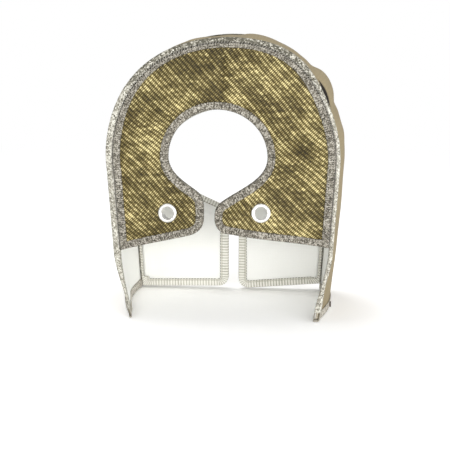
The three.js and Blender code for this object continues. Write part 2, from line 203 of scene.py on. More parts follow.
@dataclass(frozen=True)
class BlanketPlan:
    """Sizes of the whole blanket and the rules that bend its cloth, in millimetres."""

    band_depth: float = 95.0
    crown_radius: float = 92.5
    crown_height: float = 138.0
    crown_rise: float = 3.0
    side_taper: float = math.radians(3.0)
    band_bulge: float = 5.0
    pillow_share: float = 0.6
    rises: tuple[Rise, ...] = (
        Rise(39.0, 6.0, 11.0), Rise(70.0, 1.0, 11.0), Rise(96.0, -4.2, 15.0), Rise(147.0, 4.0, 12.0),
        Rise(56.0, -4.6, 22.0), Rise(132.0, -4.4, 26.0),
    )
    swells: tuple[Rise, ...] = (Rise(56.0, 4.6, 22.0), Rise(136.0, 2.6, 28.0))
    folds: tuple[Fold, ...] = (
        Fold(27.0, 3.2, -1.6, 0.06), Fold(47.0, 3.0, -1.9, -0.05), Fold(57.0, 4.0, 0.9, 0.04),
        Fold(84.0, 3.5, -1.2, 0.03), Fold(104.0, 3.4, 0.9, -0.05), Fold(128.0, 3.6, -1.3, 0.05),
        Fold(160.0, 4.0, -1.2, -0.04), Fold(12.0, 3.6, 0.8, 0.05),
    )
    fold_middle: float = 47.0
    dent: Rise = Rise(33.5, -1.9, 6.0)
    dent_depth: float = 12.5
    dent_width: float = 3.0
    squeeze: Rise = Rise(90.0, 0.3, 36.0)
    side_squeeze: float = 0.38
    squeeze_limit: float = 0.4
    tail_pinch: float = 0.58
    tail_pinch_height: float = 64.0
    tail_pinch_run: float = 46.0
    tail_curl: float = 9.0
    tail_curl_height: float = 60.0
    tape_width: float = 6.6
    tape_outer: float = 5.6
    hem_height: float = 8.0
    layer_gap: float = 0.3
    edge_inset: float = 1.8

    @property
    def tangent_height(self) -> float:
        """Height at which the crown's arc meets the straight sides."""
        return self.crown_height - self.crown_radius * math.sin(self.side_taper)

    def side_reach(self, height: np.ndarray) -> np.ndarray:
        """Half the width of the sewn outline below the crown's arc."""
        drop = (self.tangent_height - height) * math.tan(self.side_taper)
        return self.crown_radius * math.cos(self.side_taper) - drop

    def outline(self, left_foot: float, right_foot: float, step: float) -> Stations:
        """Sewn outline from the left foot over the crown to the right foot.

        Args:
            left_foot: Height of the left end.
            right_foot: Height of the right end.
            step: The longest step between stations.

        Returns:
            The stations.
        """
        top = self.tangent_height
        left = np.linspace(left_foot, top, max(2, math.ceil((top - left_foot) / step)))[:-1]
        right = np.linspace(top, right_foot, max(2, math.ceil((top - right_foot) / step)))[1:]
        sweep = math.pi + 2 * self.side_taper
        count = math.ceil(self.crown_radius * sweep / step)
        turn = math.pi + self.side_taper - sweep * np.linspace(0.0, 1.0, count)
        cos, sin = np.cos(turn), np.sin(turn)
        radius = self.crown_radius + humps(np.degrees(turn), self.swells)
        arch_x = radius * cos
        arch_z = self.crown_height + radius * sin + self.crown_rise * np.maximum(sin, 0.0) ** 2
        run_x, run_z = np.gradient(arch_x), np.gradient(arch_z)
        run = np.hypot(run_x, run_z)
        return Stations(
            np.concatenate([-self.side_reach(left), arch_x, self.side_reach(right)]),
            np.concatenate([left, arch_z, right]),
            np.concatenate([-np.ones_like(left), -run_z / run, np.ones_like(right)]),
            np.concatenate([np.zeros_like(left), run_x / run, np.zeros_like(right)]),
        )

    def crown_angle(self, x: np.ndarray, z: np.ndarray) -> np.ndarray:
        """Angle round the crown in degrees, 0 on the right and 180 on the left."""
        return np.degrees(np.arctan2(z - self.crown_height, x))

    def bulge(self, x: np.ndarray, z: np.ndarray) -> np.ndarray:
        """How far the middle of the band stands out from its bound edges."""
        return self.band_bulge + humps(self.crown_angle(x, z), self.rises)

    def crumple(self, x: np.ndarray, z: np.ndarray, depth: np.ndarray) -> np.ndarray:
        """Small folds of the band that every one of its layers follows."""
        angle = self.crown_angle(x, z)
        inside = smooth((depth - 9.0) / 14.0) * smooth((self.band_depth - 9.0 - depth) / 14.0)
        crossing = np.zeros_like(angle + depth)
        for fold in self.folds:
            centred = angle - fold.angle - fold.lean * (depth - self.fold_middle)
            crossing = crossing + fold.rise * np.exp(-((centred / fold.width) ** 2))
        low = 0.5 * np.sin(z / 17.0 + depth / 23.0) * smooth((130.0 - z) / 40.0) * smooth((z - 12.0) / 20.0)
        across = np.exp(-(((depth - self.dent_depth) / self.dent_width) ** 2))
        return inside * (crossing + low) + humps(angle, (self.dent,)) * across

    def band_points(self, at: Stations, depth: np.ndarray, distance: np.ndarray,
                    share: float = 1.0) -> np.ndarray:
        """Points of the band, with its bulge, folds and curled tails.

        Args:
            at: Stations of the outline, one for each row of the result.
            depth: Depths behind the front edge, as a row or as a grid.
            distance: Distances outside the sewn outline, as a number, a row or a grid.
            share: Share of the bulge that the layer takes above the hems.

        Returns:
            A grid of points with a row for each station.
        """
        x, z, nx, nz = (v[:, None] for v in (at.x, at.z, at.nx, at.nz))
        depth, distance = np.atleast_2d(depth), np.atleast_2d(distance)
        across = np.clip((depth - self.tape_width) / (self.band_depth - 2 * self.tape_width), 0.0, 1.0)
        loose = smooth((z - self.hem_height - self.layer_gap) / self.hem_height)
        part = lerp(1.0, share, loose)
        angle = self.crown_angle(x, z)
        pressed = humps(angle, (self.squeeze,))
        pressed = pressed + self.side_squeeze * smooth((60.0 - angle) / 35.0) * (x > 0)
        pressed = np.minimum(pressed, self.squeeze_limit) * smooth((z - 10.0) / 25.0)
        front = 1.0 - smooth((depth - 5.0) / 18.0)
        distance = distance * (1.0 - pressed * front)
        pinched = self.tail_pinch * smooth((self.tail_pinch_height - z) / self.tail_pinch_run)
        distance = lerp(distance, self.tape_outer, pinched * (x < 0) * front)
        out = distance + part * self.bulge(x, z) * np.sin(np.pi * across) + loose * self.crumple(x, z, depth)
        high = z + nz * out
        fade = (1.0 - depth / self.band_depth) ** 2
        curl = self.tail_curl * smooth(1.0 - high / self.tail_curl_height) * fade
        wide = x + nx * out - np.sign(x) * curl
        return np.stack(np.broadcast_arrays(wide, depth, high), axis=-1)


PLAN = BlanketPlan()


@dataclass(frozen=True)
class Wave:
    """A soft wave of the cloth: a long hump or hollow at a place."""

    x: float
    z: float
    angle: float
    length: float
    width: float
    rise: float

    def at(self, x: np.ndarray, z: np.ndarray) -> np.ndarray:
        """Height of the wave at points of the panel."""
        turn = math.radians(self.angle)
        along = (x - self.x) * math.cos(turn) + (z - self.z) * math.sin(turn)
        across = (z - self.z) * math.cos(turn) - (x - self.x) * math.sin(turn)
        return self.rise * np.exp(-((along / self.length) ** 2) - (across / self.width) ** 2)


class PanelSide(Enum):
    """Which way a panel's woven cover faces."""

    FRONT = -1
    REAR = 1


@dataclass(frozen=True)
class PanelPlan:
    """Outline, opening and loose shape of one panel."""

    side: PanelSide
    opening: Opening
    left_foot: float
    right_foot: float
    eyelets: tuple[tuple[float, float], tuple[float, float]]
    waves: tuple[Wave, ...] = ()
    tip_lift: float = 0.0
    tip_lift_top: float = 132.0
    tip_lift_bottom: float = 68.0
    puff: float = 0.9
    tape_width: float = 6.6
    crown_share: float = 1.0
    opening_share: float = 1.0
    side_share: float = 1.0

    def corners(self) -> tuple[np.ndarray, np.ndarray]:
        """Left and right bottom corners."""
        return (np.array([-PLAN.side_reach(self.left_foot), self.left_foot]),
                np.array([PLAN.side_reach(self.right_foot), self.right_foot]))

    def loop(self, step: float, corner_run: float) -> np.ndarray:
        """Closed edge of the panel.

        Args:
            step: The longest step along the curves.
            corner_run: Length beside each bottom corner that stays one straight step.

        Returns:
            Points from the left toe over the opening, along the right bottom edge, back over the crown.
        """
        left, right = self.corners()
        inner = self.opening.edge(left, right, step)
        outer = PLAN.outline(self.left_foot, self.right_foot, step).points()[::-1]
        off = outer[(np.linalg.norm(outer - left, axis=1) > corner_run)
                    & (np.linalg.norm(outer - right, axis=1) > corner_run)]

        def bottom(start: np.ndarray, corner: np.ndarray) -> np.ndarray:
            run = np.linalg.norm(corner - start)
            stop = start + (corner - start) * (run - corner_run) / run
            return evenly(np.array([start, stop]), step)[1:]

        ends = bottom(inner[-1], right), bottom(inner[0], left)[::-1]
        return np.concatenate([inner, ends[0], [right], off, [left], ends[1]])

    def tape_share(self, x: np.ndarray, z: np.ndarray) -> np.ndarray:
        """Share of the tape's width that lies on the panel at points of its edge.

        Args:
            x: X of the points.
            z: Z of the points.

        Returns:
            The share at each point, less where the tape is pulled over the crown or round the opening.
        """
        outside = np.hypot(x, z - PLAN.crown_height) > PLAN.crown_radius - 4.0
        crown = np.exp(-(((PLAN.crown_angle(x, z) - 96.0) / 58.0) ** 4)) * outside
        opening = smooth((z - self.opening.left.shoulder[1] + 12.0) / 10.0) * ~outside
        side = smooth((np.abs(x) - PLAN.side_reach(np.minimum(z, PLAN.tangent_height)) + 3.0) / 2.5)
        side = side * smooth((PLAN.tangent_height + 12.0 - z) / 14.0) * smooth((z - 6.0) / 6.0)
        share = 1.0 - (1.0 - self.crown_share) * crown - (1.0 - self.opening_share) * opening
        return np.minimum(share, 1.0 - (1.0 - self.side_share) * side)

    def lift(self, x: np.ndarray, z: np.ndarray) -> np.ndarray:
        """How far the panel springs outwards, most at the toes beside the slit."""
        if not self.tip_lift:
            return np.zeros_like(x)
        free = PLAN.side_reach(np.minimum(z, PLAN.tangent_height)) - PLAN.tape_width
        slit = abs(self.opening.left.waist + self.opening.right.waist) / 2
        inward = (free - np.abs(x)) / (free - slit)
        down = (self.tip_lift_top - z) / (self.tip_lift_top - self.tip_lift_bottom)
        return self.tip_lift * smooth(inward) * smooth(down)

    def measure(self, x: np.ndarray, z: np.ndarray) -> tuple[np.ndarray, np.ndarray]:
        """Inside test and distance to the edge for many points.

        Args:
            x: X of the points.
            z: Z of the points.

        Returns:
            True for the points inside, and each point's distance to the edge.
        """
        loop = self.loop(2.5, 3.0)
        inside = np.zeros(x.shape, bool)
        nearest = np.full(x.shape, 1e9)
        for a, b in zip(loop, np.roll(loop, -1, axis=0)):
            run = b - a
            t = np.clip(((x - a[0]) * run[0] + (z - a[1]) * run[1]) / (run @ run), 0.0, 1.0)
            nearest = np.minimum(nearest, (x - a[0] - t * run[0]) ** 2 + (z - a[1] - t * run[1]) ** 2)
            if a[1] != b[1]:
                crossing = (a[1] > z) != (b[1] > z)
                inside ^= crossing & (x < a[0] + (z - a[1]) / run[1] * run[0])
        return inside, np.sqrt(nearest)

    def loft(self, x: np.ndarray, z: np.ndarray, away: np.ndarray) -> np.ndarray:
        """How far the cloth stands outwards: sprung tips, puffed middle and soft waves.

        Args:
            x: X of the points.
            z: Z of the points.
            away: Distance of each point to the panel's edge.

        Returns:
            The outward height of each point.
        """
        free = smooth((away - self.tape_width) / 9.0)
        for ex, ez in self.eyelets:
            free = free * smooth((np.hypot(x - ex, z - ez) - 7.5) / 8.0)
        soft = self.puff + sum((wave.at(x, z) for wave in self.waves), np.zeros_like(x))
        return self.lift(x, z) + free * soft

    def place(self, x: np.ndarray, z: np.ndarray, depth: np.ndarray, out: np.ndarray) -> np.ndarray:
        """Points at a depth behind the outer face, moved outwards.

        Args:
            x: X of the points.
            z: Z of the points.
            depth: Depth behind the panel's outer face.
            out: Outward height.

        Returns:
            The points in millimetres.
        """
        if self.side is PanelSide.FRONT:
            y = depth - out
        else:
            y = PLAN.band_depth - depth + out
        return np.stack(np.broadcast_arrays(x, y, z), axis=-1)

    def seat(self, place: tuple[float, float]) -> Matrix:
        """Place and direction of an eyelet: its own -Y axis points out of the cloth."""
        x, z = (np.array([float(v)]) for v in place)
        slope_x = float((self.lift(x + 1, z) - self.lift(x - 1, z))[0]) / 2
        slope_z = float((self.lift(x, z + 1) - self.lift(x, z - 1))[0]) / 2
        at = self.place(x, z, 0.9, self.lift(x, z))[0]
        out = Vector((-slope_x, self.side.value, -slope_z)).normalized()
        turn = Vector((0, -1, 0)).rotation_difference(out).to_matrix().to_4x4()
        if self.side is PanelSide.REAR:
            turn = Matrix.Rotation(math.pi, 4, "Z")
        return Matrix.Translation(at.tolist()) @ turn


FRONT = PanelPlan(
    side=PanelSide.FRONT,
    opening=Opening(
        (-4.9, 141.0), 41.2, 39.3, 35.0,
        SlitSide((-23.0, 113.0), -16.0, 95.0, 90.0, (-29.0, 76.0)),
        SlitSide((-1.0, 104.5), -7.0, 93.0, 90.5, (3.0, 78.5)),
    ),
    left_foot=60.0,
    right_foot=65.0,
    eyelets=((-46.6, 94.5), (31.5, 95.8)),
    waves=(
        Wave(-1.5, 212.0, 90.0, 24.0, 3.4, -1.1), Wave(7.0, 210.0, 88.0, 22.0, 4.5, 0.9),
        Wave(-17.0, 219.0, 20.0, 17.0, 7.0, -0.8), Wave(-38.0, 190.0, 38.0, 26.0, 6.0, 1.0),
        Wave(-58.0, 168.0, 52.0, 16.0, 5.0, 0.9), Wave(-62.0, 178.0, 50.0, 15.0, 4.0, -0.7),
        Wave(57.0, 157.0, 28.0, 15.0, 3.2, 1.2), Wave(61.0, 147.0, 48.0, 14.0, 3.2, -1.0),
        Wave(72.0, 145.0, 62.0, 18.0, 4.2, 0.8), Wave(38.0, 205.0, -24.0, 18.0, 5.0, 0.9),
        Wave(52.0, 193.0, -40.0, 15.0, 4.0, -0.8), Wave(-72.0, 118.0, 78.0, 20.0, 4.0, 0.8),
        Wave(-63.0, 112.0, 74.0, 17.0, 3.6, -0.7), Wave(63.0, 112.0, 70.0, 18.0, 5.0, 0.7),
    ),
    tip_lift=11.0,
    crown_share=0.5,
)

REAR = PanelPlan(
    side=PanelSide.REAR,
    opening=Opening(
        (-2.0, 127.0), 58.5, 46.0, 24.0,
        SlitSide((-14.0, 85.5), -1.5, 71.0, 12.0, (-11.0, 2.6)),
        SlitSide((20.0, 85.5), 8.0, 71.0, 11.0, (18.0, 1.2)),
    ),
    left_foot=1.0,
    right_foot=7.0,
    eyelets=((-35.0, 67.0), (42.0, 65.0)),
    waves=(
        Wave(-45.0, 45.0, 70.0, 30.0, 9.0, 0.9), Wave(50.0, 48.0, 80.0, 28.0, 9.0, -0.7),
        Wave(-72.0, 150.0, 60.0, 30.0, 6.0, 0.8), Wave(68.0, 160.0, -60.0, 26.0, 6.0, 0.8),
        Wave(0.0, 205.0, 0.0, 30.0, 6.0, -0.8),
    ),
    tape_width=7.4,
    opening_share=0.5,
    side_share=0.25,
)


Colour = tuple[float, float, float]


class Desk:
    """A new material and the nodes that are added to it."""

    def __init__(self, name: str) -> None:
        """Start a material with one Principled shader."""
        self.material = bpy.data.materials.new(name)
        self.material.use_nodes = True
        self.tree = self.material.node_tree
        self.shader = self.tree.nodes["Principled BSDF"]

    def node(self, kind: str, links: dict[str | int, object] | None = None,
             **settings: object) -> bpy.types.Node:
        """Add a node.

        Args:
            kind: The node's type name without its ShaderNode prefix.
            links: Values or output sockets for its inputs, by name or number.
            settings: Properties of the node.

        Returns:
            The node.
        """
        node = self.tree.nodes.new("ShaderNode" + kind)
        for key, value in settings.items():
            setattr(node, key, value)
        for key, value in (links or {}).items():
            self.feed(node.inputs[key], value)
        return node

    def feed(self, socket: bpy.types.NodeSocket, value: object) -> None:
        """Link an output to a socket, or set the socket's own value."""
        if isinstance(value, bpy.types.NodeSocket):
            self.tree.links.new(value, socket)
        else:
            socket.default_value = value

    def blend(self, mode: str, amount: object, a: object, b: object) -> bpy.types.NodeSocket:
        """Mix two colours and return the result."""
        node = self.node("Mix", data_type="RGBA", blend_type=mode)
        for key, value in ((0, amount), (6, a), (7, b)):
            self.feed(node.inputs[key], value)
        return node.outputs[2]

    def sum(self, operation: str, a: object, b: object = 0.0) -> bpy.types.NodeSocket:
        """One step of arithmetic."""
        return self.node("Math", {0: a, 1: b}, operation=operation).outputs[0]

    def sway(self, lit: object, pattern: object, middle: float, weight: float) -> bpy.types.NodeSocket:
        """A value raised or lowered by a pattern about its middle."""
        return self.sum("ADD", lit, self.sum("MULTIPLY", self.sum("SUBTRACT", pattern, middle), weight))

    def ramp(self, value: object, stops: list[tuple[float, Colour]]) -> bpy.types.NodeSocket:
        """Colour ramp through the given stops."""
        node = self.node("ValToRGB", {0: value})
        elements = node.color_ramp.elements
        while len(elements) < len(stops):
            elements.new(0.5)
        for element, (place, colour) in zip(elements, stops):
            element.position = place
            element.color = (*colour, 1.0)
        return node.outputs[0]

    def value(self, name: str) -> bpy.types.NodeSocket:
        """A number kept on the mesh."""
        return self.node("Attribute", attribute_name=name).outputs["Fac"]

    def place(self, turn: tuple[float, float, float] = (0, 0, 0),
              scale: tuple[float, float, float] = (1, 1, 1),
              layer: str | None = None) -> bpy.types.NodeSocket:
        """Object coordinates, or the piece's own UV map, turned and scaled."""
        if layer:
            source = self.node("UVMap", uv_map=layer).outputs[0]
        else:
            source = self.node("TexCoord").outputs["Object"]
        return self.node("Mapping", {0: source, "Rotation": turn, "Scale": scale}).outputs[0]

    def noise(self, where: object, scale: float, detail: float = 2.0,
              roughness: float = 0.5) -> bpy.types.NodeSocket:
        """Soft noise."""
        return self.node("TexNoise", {"Vector": where, "Scale": scale, "Detail": detail,
                                      "Roughness": roughness}).outputs[0]

    def bump(self, height: object, strength: float, distance: float) -> None:
        """Raise the surface by a height pattern."""
        node = self.node("Bump", {"Height": height, "Strength": strength, "Distance": distance})
        self.feed(self.shader.inputs["Normal"], node.outputs[0])

    def finish(self, colour: object, roughness: object, specular: float = 0.5,
               metallic: float = 0.0) -> bpy.types.Material:
        """Set the shader and return the material."""
        self.feed(self.shader.inputs["Base Color"], colour)
        self.feed(self.shader.inputs["Roughness"], roughness)
        self.shader.inputs["Specular IOR Level"].default_value = specular
        self.shader.inputs["Metallic"].default_value = metallic
        return self.material


@dataclass(frozen=True)
class TwillFinish:
    """Gold woven cloth with a dull shine, with painted shade between the wales and a painted highlight on the
    floats.
    """

    name: str = "gold_twill"
    valley_shade: Colour = (0.02, 0.0145, 0.0023)
    shade: Colour = (0.067, 0.0515, 0.011)
    middle: Colour = (0.185, 0.146, 0.05)
    crest_highlight: Colour = (0.8, 0.71, 0.364)

    def material(self) -> bpy.types.Material:
        """Make the material."""
        desk = Desk(self.name)
        height, tone = desk.value("relief"), desk.value("tone")
        along = desk.place(turn=(0.0, math.radians(-46.0), 0.0), scale=(60.0, 60.0, 330.0))
        # Painted sheen: lighter and darker streaks along the wales and broad patches where the fibres' shine
        # turns.
        sheen_streak = desk.noise(along, 1.0, 3.0, 0.6)
        sheen_patch = desk.noise(desk.place(), 26.0, 2.0)
        lit = desk.sway(height, sheen_streak, 0.5, 0.75)
        # The tone numbers hold each float's random tone together with the painted sheen patches.
        lit = desk.sway(lit, tone, 0.5, 0.5)
        lit = desk.sway(lit, sheen_patch, 0.5, 0.65)
        # The relief ramp paints shade into the valleys between the wales and a highlight onto the floats,
        # about the cloth's own gold.
        stops = [(0.14, self.valley_shade), (0.4, self.shade), (0.7, self.middle), (1.0, self.crest_highlight)]
        colour = desk.ramp(lit, stops)
        warm = desk.noise(desk.place(), 90.0, 2.0)
        colour = desk.blend("MIX", desk.sum("MULTIPLY", warm, 0.3), colour,
                            desk.blend("MULTIPLY", 1.0, colour, (1.18, 1.0, 0.72, 1.0)))
        across = desk.place(turn=(0.0, math.radians(44.0), 0.0), scale=(700.0, 700.0, 5200.0))
        fibre = desk.noise(across, 1.0, 1.0)
        desk.bump(fibre, 0.35, 0.00012)
        return desk.finish(colour, desk.sum("SUBTRACT", 0.62, desk.sum("MULTIPLY", height, 0.2)), 0.25)


@dataclass(frozen=True)
class KnitFinish:
    """Salt and pepper knitted tape, with painted shade between its loops."""

    name: str = "knit_tape"
    dark: Colour = (0.039, 0.035, 0.027)
    middle: Colour = (0.168, 0.152, 0.12)
    light: Colour = (0.56, 0.53, 0.46)

    def material(self) -> bpy.types.Material:
        """Make the material."""
        desk = Desk(self.name)
        where = desk.place(layer="tape")
        grain = desk.node("TexVoronoi", {"Vector": where, "Scale": 880.0}).outputs["Color"]
        speck = desk.node("SeparateColor", {0: grain}).outputs[0]
        flock = desk.noise(where, 1100.0, 2.0)
        broad = desk.noise(where, 130.0, 2.0)
        # The loops' relief lightens the colour: painted shade in the hollows between the loops.
        relief = desk.sum("MULTIPLY", desk.value("relief"), 0.3)
        lit = desk.sum("ADD", desk.sum("MULTIPLY", speck, 0.62), relief)
        lit = desk.sway(lit, flock, 0.55, 0.8)
        lit = desk.sway(lit, broad, 0.5, 0.4)
        colour = desk.ramp(lit, [(0.05, self.dark), (0.38, self.middle), (0.85, self.light)])
        desk.bump(desk.sum("ADD", flock, desk.sum("MULTIPLY", speck, 0.6)), 0.5, 0.0002)
        return desk.finish(colour, 0.86, 0.3)


@dataclass(frozen=True)
class PaleTapeFinish:
    """Pale tape with ribs, painted shade in its grooves, and speckled where it is knitted."""

    name: str = "pale_tape"
    groove: Colour = (0.26, 0.245, 0.18)
    shade: Colour = (0.56, 0.54, 0.46)
    face: Colour = (0.86, 0.85, 0.78)
    speckle: float = 0.0

    def material(self) -> bpy.types.Material:
        """Make the material."""
        desk = Desk(self.name)
        where = desk.place(layer="tape")
        flock = desk.noise(where, 1700.0, 2.0)
        broad = desk.noise(where, 150.0, 3.0)
        # The tape's relief sets the colour: painted shade in the grooves between the ribs.
        lit = desk.sum("MULTIPLY", desk.value("relief"), 0.78)
        if self.speckle:
            grain = desk.node("TexVoronoi", {"Vector": where, "Scale": 820.0}).outputs["Color"]
            speck = desk.node("SeparateColor", {0: grain}).outputs[0]
            amount = desk.sum("MULTIPLY", desk.sum("ADD", 0.75, desk.value("tone")), self.speckle)
            lit = desk.sum("SUBTRACT", lit, desk.sum("MULTIPLY", speck, amount))
        lit = desk.sway(lit, flock, 0.35, 0.5)
        lit = desk.sway(lit, broad, 0.5, 0.4)
        if self.speckle:
            lit = desk.sum("SUBTRACT", lit, desk.sum("MULTIPLY", desk.value("tone"), 0.18))
        colour = desk.ramp(lit, [(0.0, self.groove), (0.3, self.shade), (0.75, self.face)])
        desk.bump(flock, 0.4, 0.0002)
        return desk.finish(colour, 0.82, 0.35)


@dataclass(frozen=True)
class PlainClothFinish:
    """Close plain weave in one colour, with painted shade in its creases."""

    name: str
    face: Colour
    groove: Colour
    threads: float = 1500.0
    depth: float = 0.00012
    mottle: float = 0.35
    shine: float = 0.35
    roughness: float = 0.8

    def material(self) -> bpy.types.Material:
        """Make the material."""
        desk = Desk(self.name)
        where = desk.place(layer="cloth")
        wave = {"Vector": where, "Scale": self.threads / 20.0, "Distortion": 0.6, "Detail": 1.0}
        warp = desk.node("TexWave", wave, bands_direction="X").outputs["Fac"]
        weft = desk.node("TexWave", wave, bands_direction="Y").outputs["Fac"]
        weave = desk.sum("MULTIPLY", warp, weft)
        broad = desk.noise(desk.place(), 34.0, 3.0)
        fine = desk.noise(where, 900.0, 2.0)
        lit = desk.sum("ADD", desk.sum("MULTIPLY", weave, 0.12), desk.sum("MULTIPLY", broad, self.mottle))
        lit = desk.sum("ADD", lit, desk.sum("MULTIPLY", fine, 0.3))
        colour = desk.ramp(lit, [(0.05, self.groove), (0.42, self.face)])
        # Painted shade: the cover is mixed towards near black in its creases and along the seam.
        dark = desk.value("crease_shade")
        painted_shade = desk.node("MapRange", {0: dark, 1: 0.42, 2: 0.6}, interpolation_type="SMOOTHSTEP").outputs[0]
        painted_shade = desk.sum("ADD", painted_shade, desk.sum("MULTIPLY", dark, 0.6))
        colour = desk.blend("MIX", painted_shade, colour, (0.012, 0.009, 0.006, 1.0))
        desk.bump(desk.sum("ADD", weave, desk.sum("MULTIPLY", fine, 0.5)), 0.5, self.depth)
        return desk.finish(colour, self.roughness, self.shine)


@dataclass(frozen=True)
class FeltFinish:
    """Needled fibre felt of the cores."""

    name: str = "fibre_felt"
    face: Colour = (0.72, 0.66, 0.54)
    shade: Colour = (0.46, 0.4, 0.3)

    def material(self) -> bpy.types.Material:
        """Make the material."""
        desk = Desk(self.name)
        where = desk.place()
        tuft = desk.noise(where, 520.0, 4.0, 0.7)
        needle = desk.node("TexVoronoi", {"Vector": where, "Scale": 240.0}).outputs["Distance"]
        colour = desk.ramp(desk.sum("ADD", tuft, desk.sum("MULTIPLY", needle, 0.3)),
                           [(0.3, self.shade), (0.7, self.face)])
        desk.bump(desk.sum("ADD", tuft, needle), 0.8, 0.0005)
        return desk.finish(colour, 0.95, 0.2)


@dataclass(frozen=True)
class MetalFinish:
    """Bright pressed metal with faint turning marks and scuffs."""

    name: str = "eyelet_metal"
    face: Colour = (0.8, 0.8, 0.77)
    scuff: Colour = (0.55, 0.54, 0.51)
    roughness: float = 0.3

    def material(self) -> bpy.types.Material:
        """Make the material."""
        desk = Desk(self.name)
        where = desk.place()
        cloud = desk.noise(where, 240.0, 3.0)
        scratch = desk.noise(desk.place(scale=(400.0, 400.0, 4200.0)), 1.0, 2.0)
        colour = desk.ramp(cloud, [(0.3, self.scuff), (0.62, self.face)])
        rough = desk.sway(self.roughness, scratch, 0.5, 0.2)
        desk.bump(scratch, 0.08, 0.0001)
        return desk.finish(colour, rough, 0.5, metallic=0.72)


@dataclass(frozen=True)
class ThreadFinish:
    """Twisted sewing thread."""

    name: str
    face: Colour
    shade: Colour

    def material(self) -> bpy.types.Material:
        """Make the material."""
        desk = Desk(self.name)
        ply = desk.noise(desk.place(), 2600.0, 2.0)
        colour = desk.ramp(ply, [(0.3, self.shade), (0.65, self.face)])
        desk.bump(ply, 0.5, 0.0001)
        return desk.finish(colour, 0.7, 0.4)


def to_frame(points: np.ndarray) -> np.ndarray:
    """Millimetres with the front face at Y = 0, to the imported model's metres."""
    return (points + np.array([0.0, FRONT_PLANE, 0.0])) * MILLIMETRE


def grid_faces(rows: int, columns: int, around: bool = False, closed: bool = False,
               start: int = 0) -> np.ndarray:
    """Quads of a grid of points.

    Args:
        rows: Number of rows.
        columns: Number of points in a row.
        around: True where the last row joins the first and each row closes on itself.
        closed: True where each row closes on itself.
        start: Number of the grid's first point.

    Returns:
        The quads.
    """
    last_row = rows if around else rows - 1
    last_column = columns if around or closed else columns - 1
    i, j = np.meshgrid(np.arange(last_row), np.arange(last_column), indexing="ij")
    after_i, after_j = (i + 1) % rows, (j + 1) % columns
    quads = [i * columns + j, after_i * columns + j, after_i * columns + after_j, i * columns + after_j]
    return np.stack(quads, axis=-1).reshape(-1, 4) + start


def signed_volume(points: np.ndarray, faces: np.ndarray) -> float:
    """Six times the volume that the quads close in, negative where they face inwards."""
    a, b, c, d = (points[faces[:, k]] for k in range(4))
    return float(np.sum(a * np.cross(b, c)) + np.sum(a * np.cross(c, d)))


def keep_numbers(mesh: bpy.types.Mesh, key: str, numbers: np.ndarray) -> None:
    """Keep a number on each point of a mesh."""
    numbers = np.asarray(numbers).astype(np.float32).ravel()
    mesh.attributes.new(key, "FLOAT", "POINT").data.foreach_set("value", numbers)


def make_piece(name: str, points: np.ndarray, faces: np.ndarray, flat: np.ndarray | None = None,
               layer: str = "cloth", values: dict[str, np.ndarray] | None = None) -> bpy.types.Object:
    """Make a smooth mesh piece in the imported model's frame.

    Args:
        name: Name of the piece.
        points: Points in millimetres.
        faces: Quads.
        flat: Place of each point on the flat cloth, in metres, for the UV map.
        layer: Name of the UV map.
        values: Numbers kept on the points, by name.

    Returns:
        The new object.
    """
    mesh = bpy.data.meshes.new(name)
    mesh.from_pydata(to_frame(points).tolist(), [], faces.tolist())
    mesh.polygons.foreach_set("use_smooth", np.ones(len(mesh.polygons), bool))
    if flat is not None:
        corner = np.empty(len(mesh.loops), np.int32)
        mesh.loops.foreach_get("vertex_index", corner)
        uv = mesh.uv_layers.new(name=layer)
        uv.data.foreach_set("uv", flat[corner].astype(np.float32).ravel())
    for key, numbers in (values or {}).items():
        keep_numbers(mesh, key, numbers)
    mesh.update()
    piece = bpy.data.objects.new(name, mesh)
    bpy.context.scene.collection.objects.link(piece)
    return piece


def slab_piece(name: str, face: np.ndarray, back: np.ndarray, flat: np.ndarray,
               crease_shade: np.ndarray | None = None) -> bpy.types.Object:
    """Closed sheet between two grids that share their rows and columns.

    Args:
        name: Name of the piece.
        face: Grid of points of one side, in millimetres.
        back: Grid of points of the other side.
        flat: Grid of places on the flat cloth, in metres.
        crease_shade: Painted shade on each point of a grid, from 0 to 1.

    Returns:
        The new object.
    """
    rows, columns = face.shape[:2]
    count = rows * columns
    rim = np.concatenate([
        np.arange(columns), np.arange(1, rows) * columns + columns - 1,
        (rows - 1) * columns + np.arange(columns - 2, -1, -1), np.arange(rows - 2, 0, -1) * columns,
    ])
    after = np.roll(rim, -1)
    faces = np.concatenate([
        grid_faces(rows, columns), grid_faces(rows, columns, start=count)[:, ::-1],
        np.stack([after, rim, rim + count, after + count], axis=1)[:, ::-1],
    ])
    points = np.concatenate([face.reshape(-1, 3), back.reshape(-1, 3)])
    if signed_volume(points, faces) < 0:
        faces = faces[:, ::-1]
    dark = np.zeros(count) if crease_shade is None else crease_shade.ravel()
    return make_piece(name, points, faces, np.tile(flat.reshape(-1, 2), (2, 1)), "cloth",
                      {"crease_shade": np.tile(dark, 2)})


def apply_modifiers(piece: bpy.types.Object) -> None:
    """Apply every modifier of a piece."""
    bpy.ops.object.select_all(action="DESELECT")
    piece.select_set(True)
    bpy.context.view_layer.objects.active = piece
    for modifier in list(piece.modifiers):
        bpy.ops.object.modifier_apply(modifier=modifier.name)


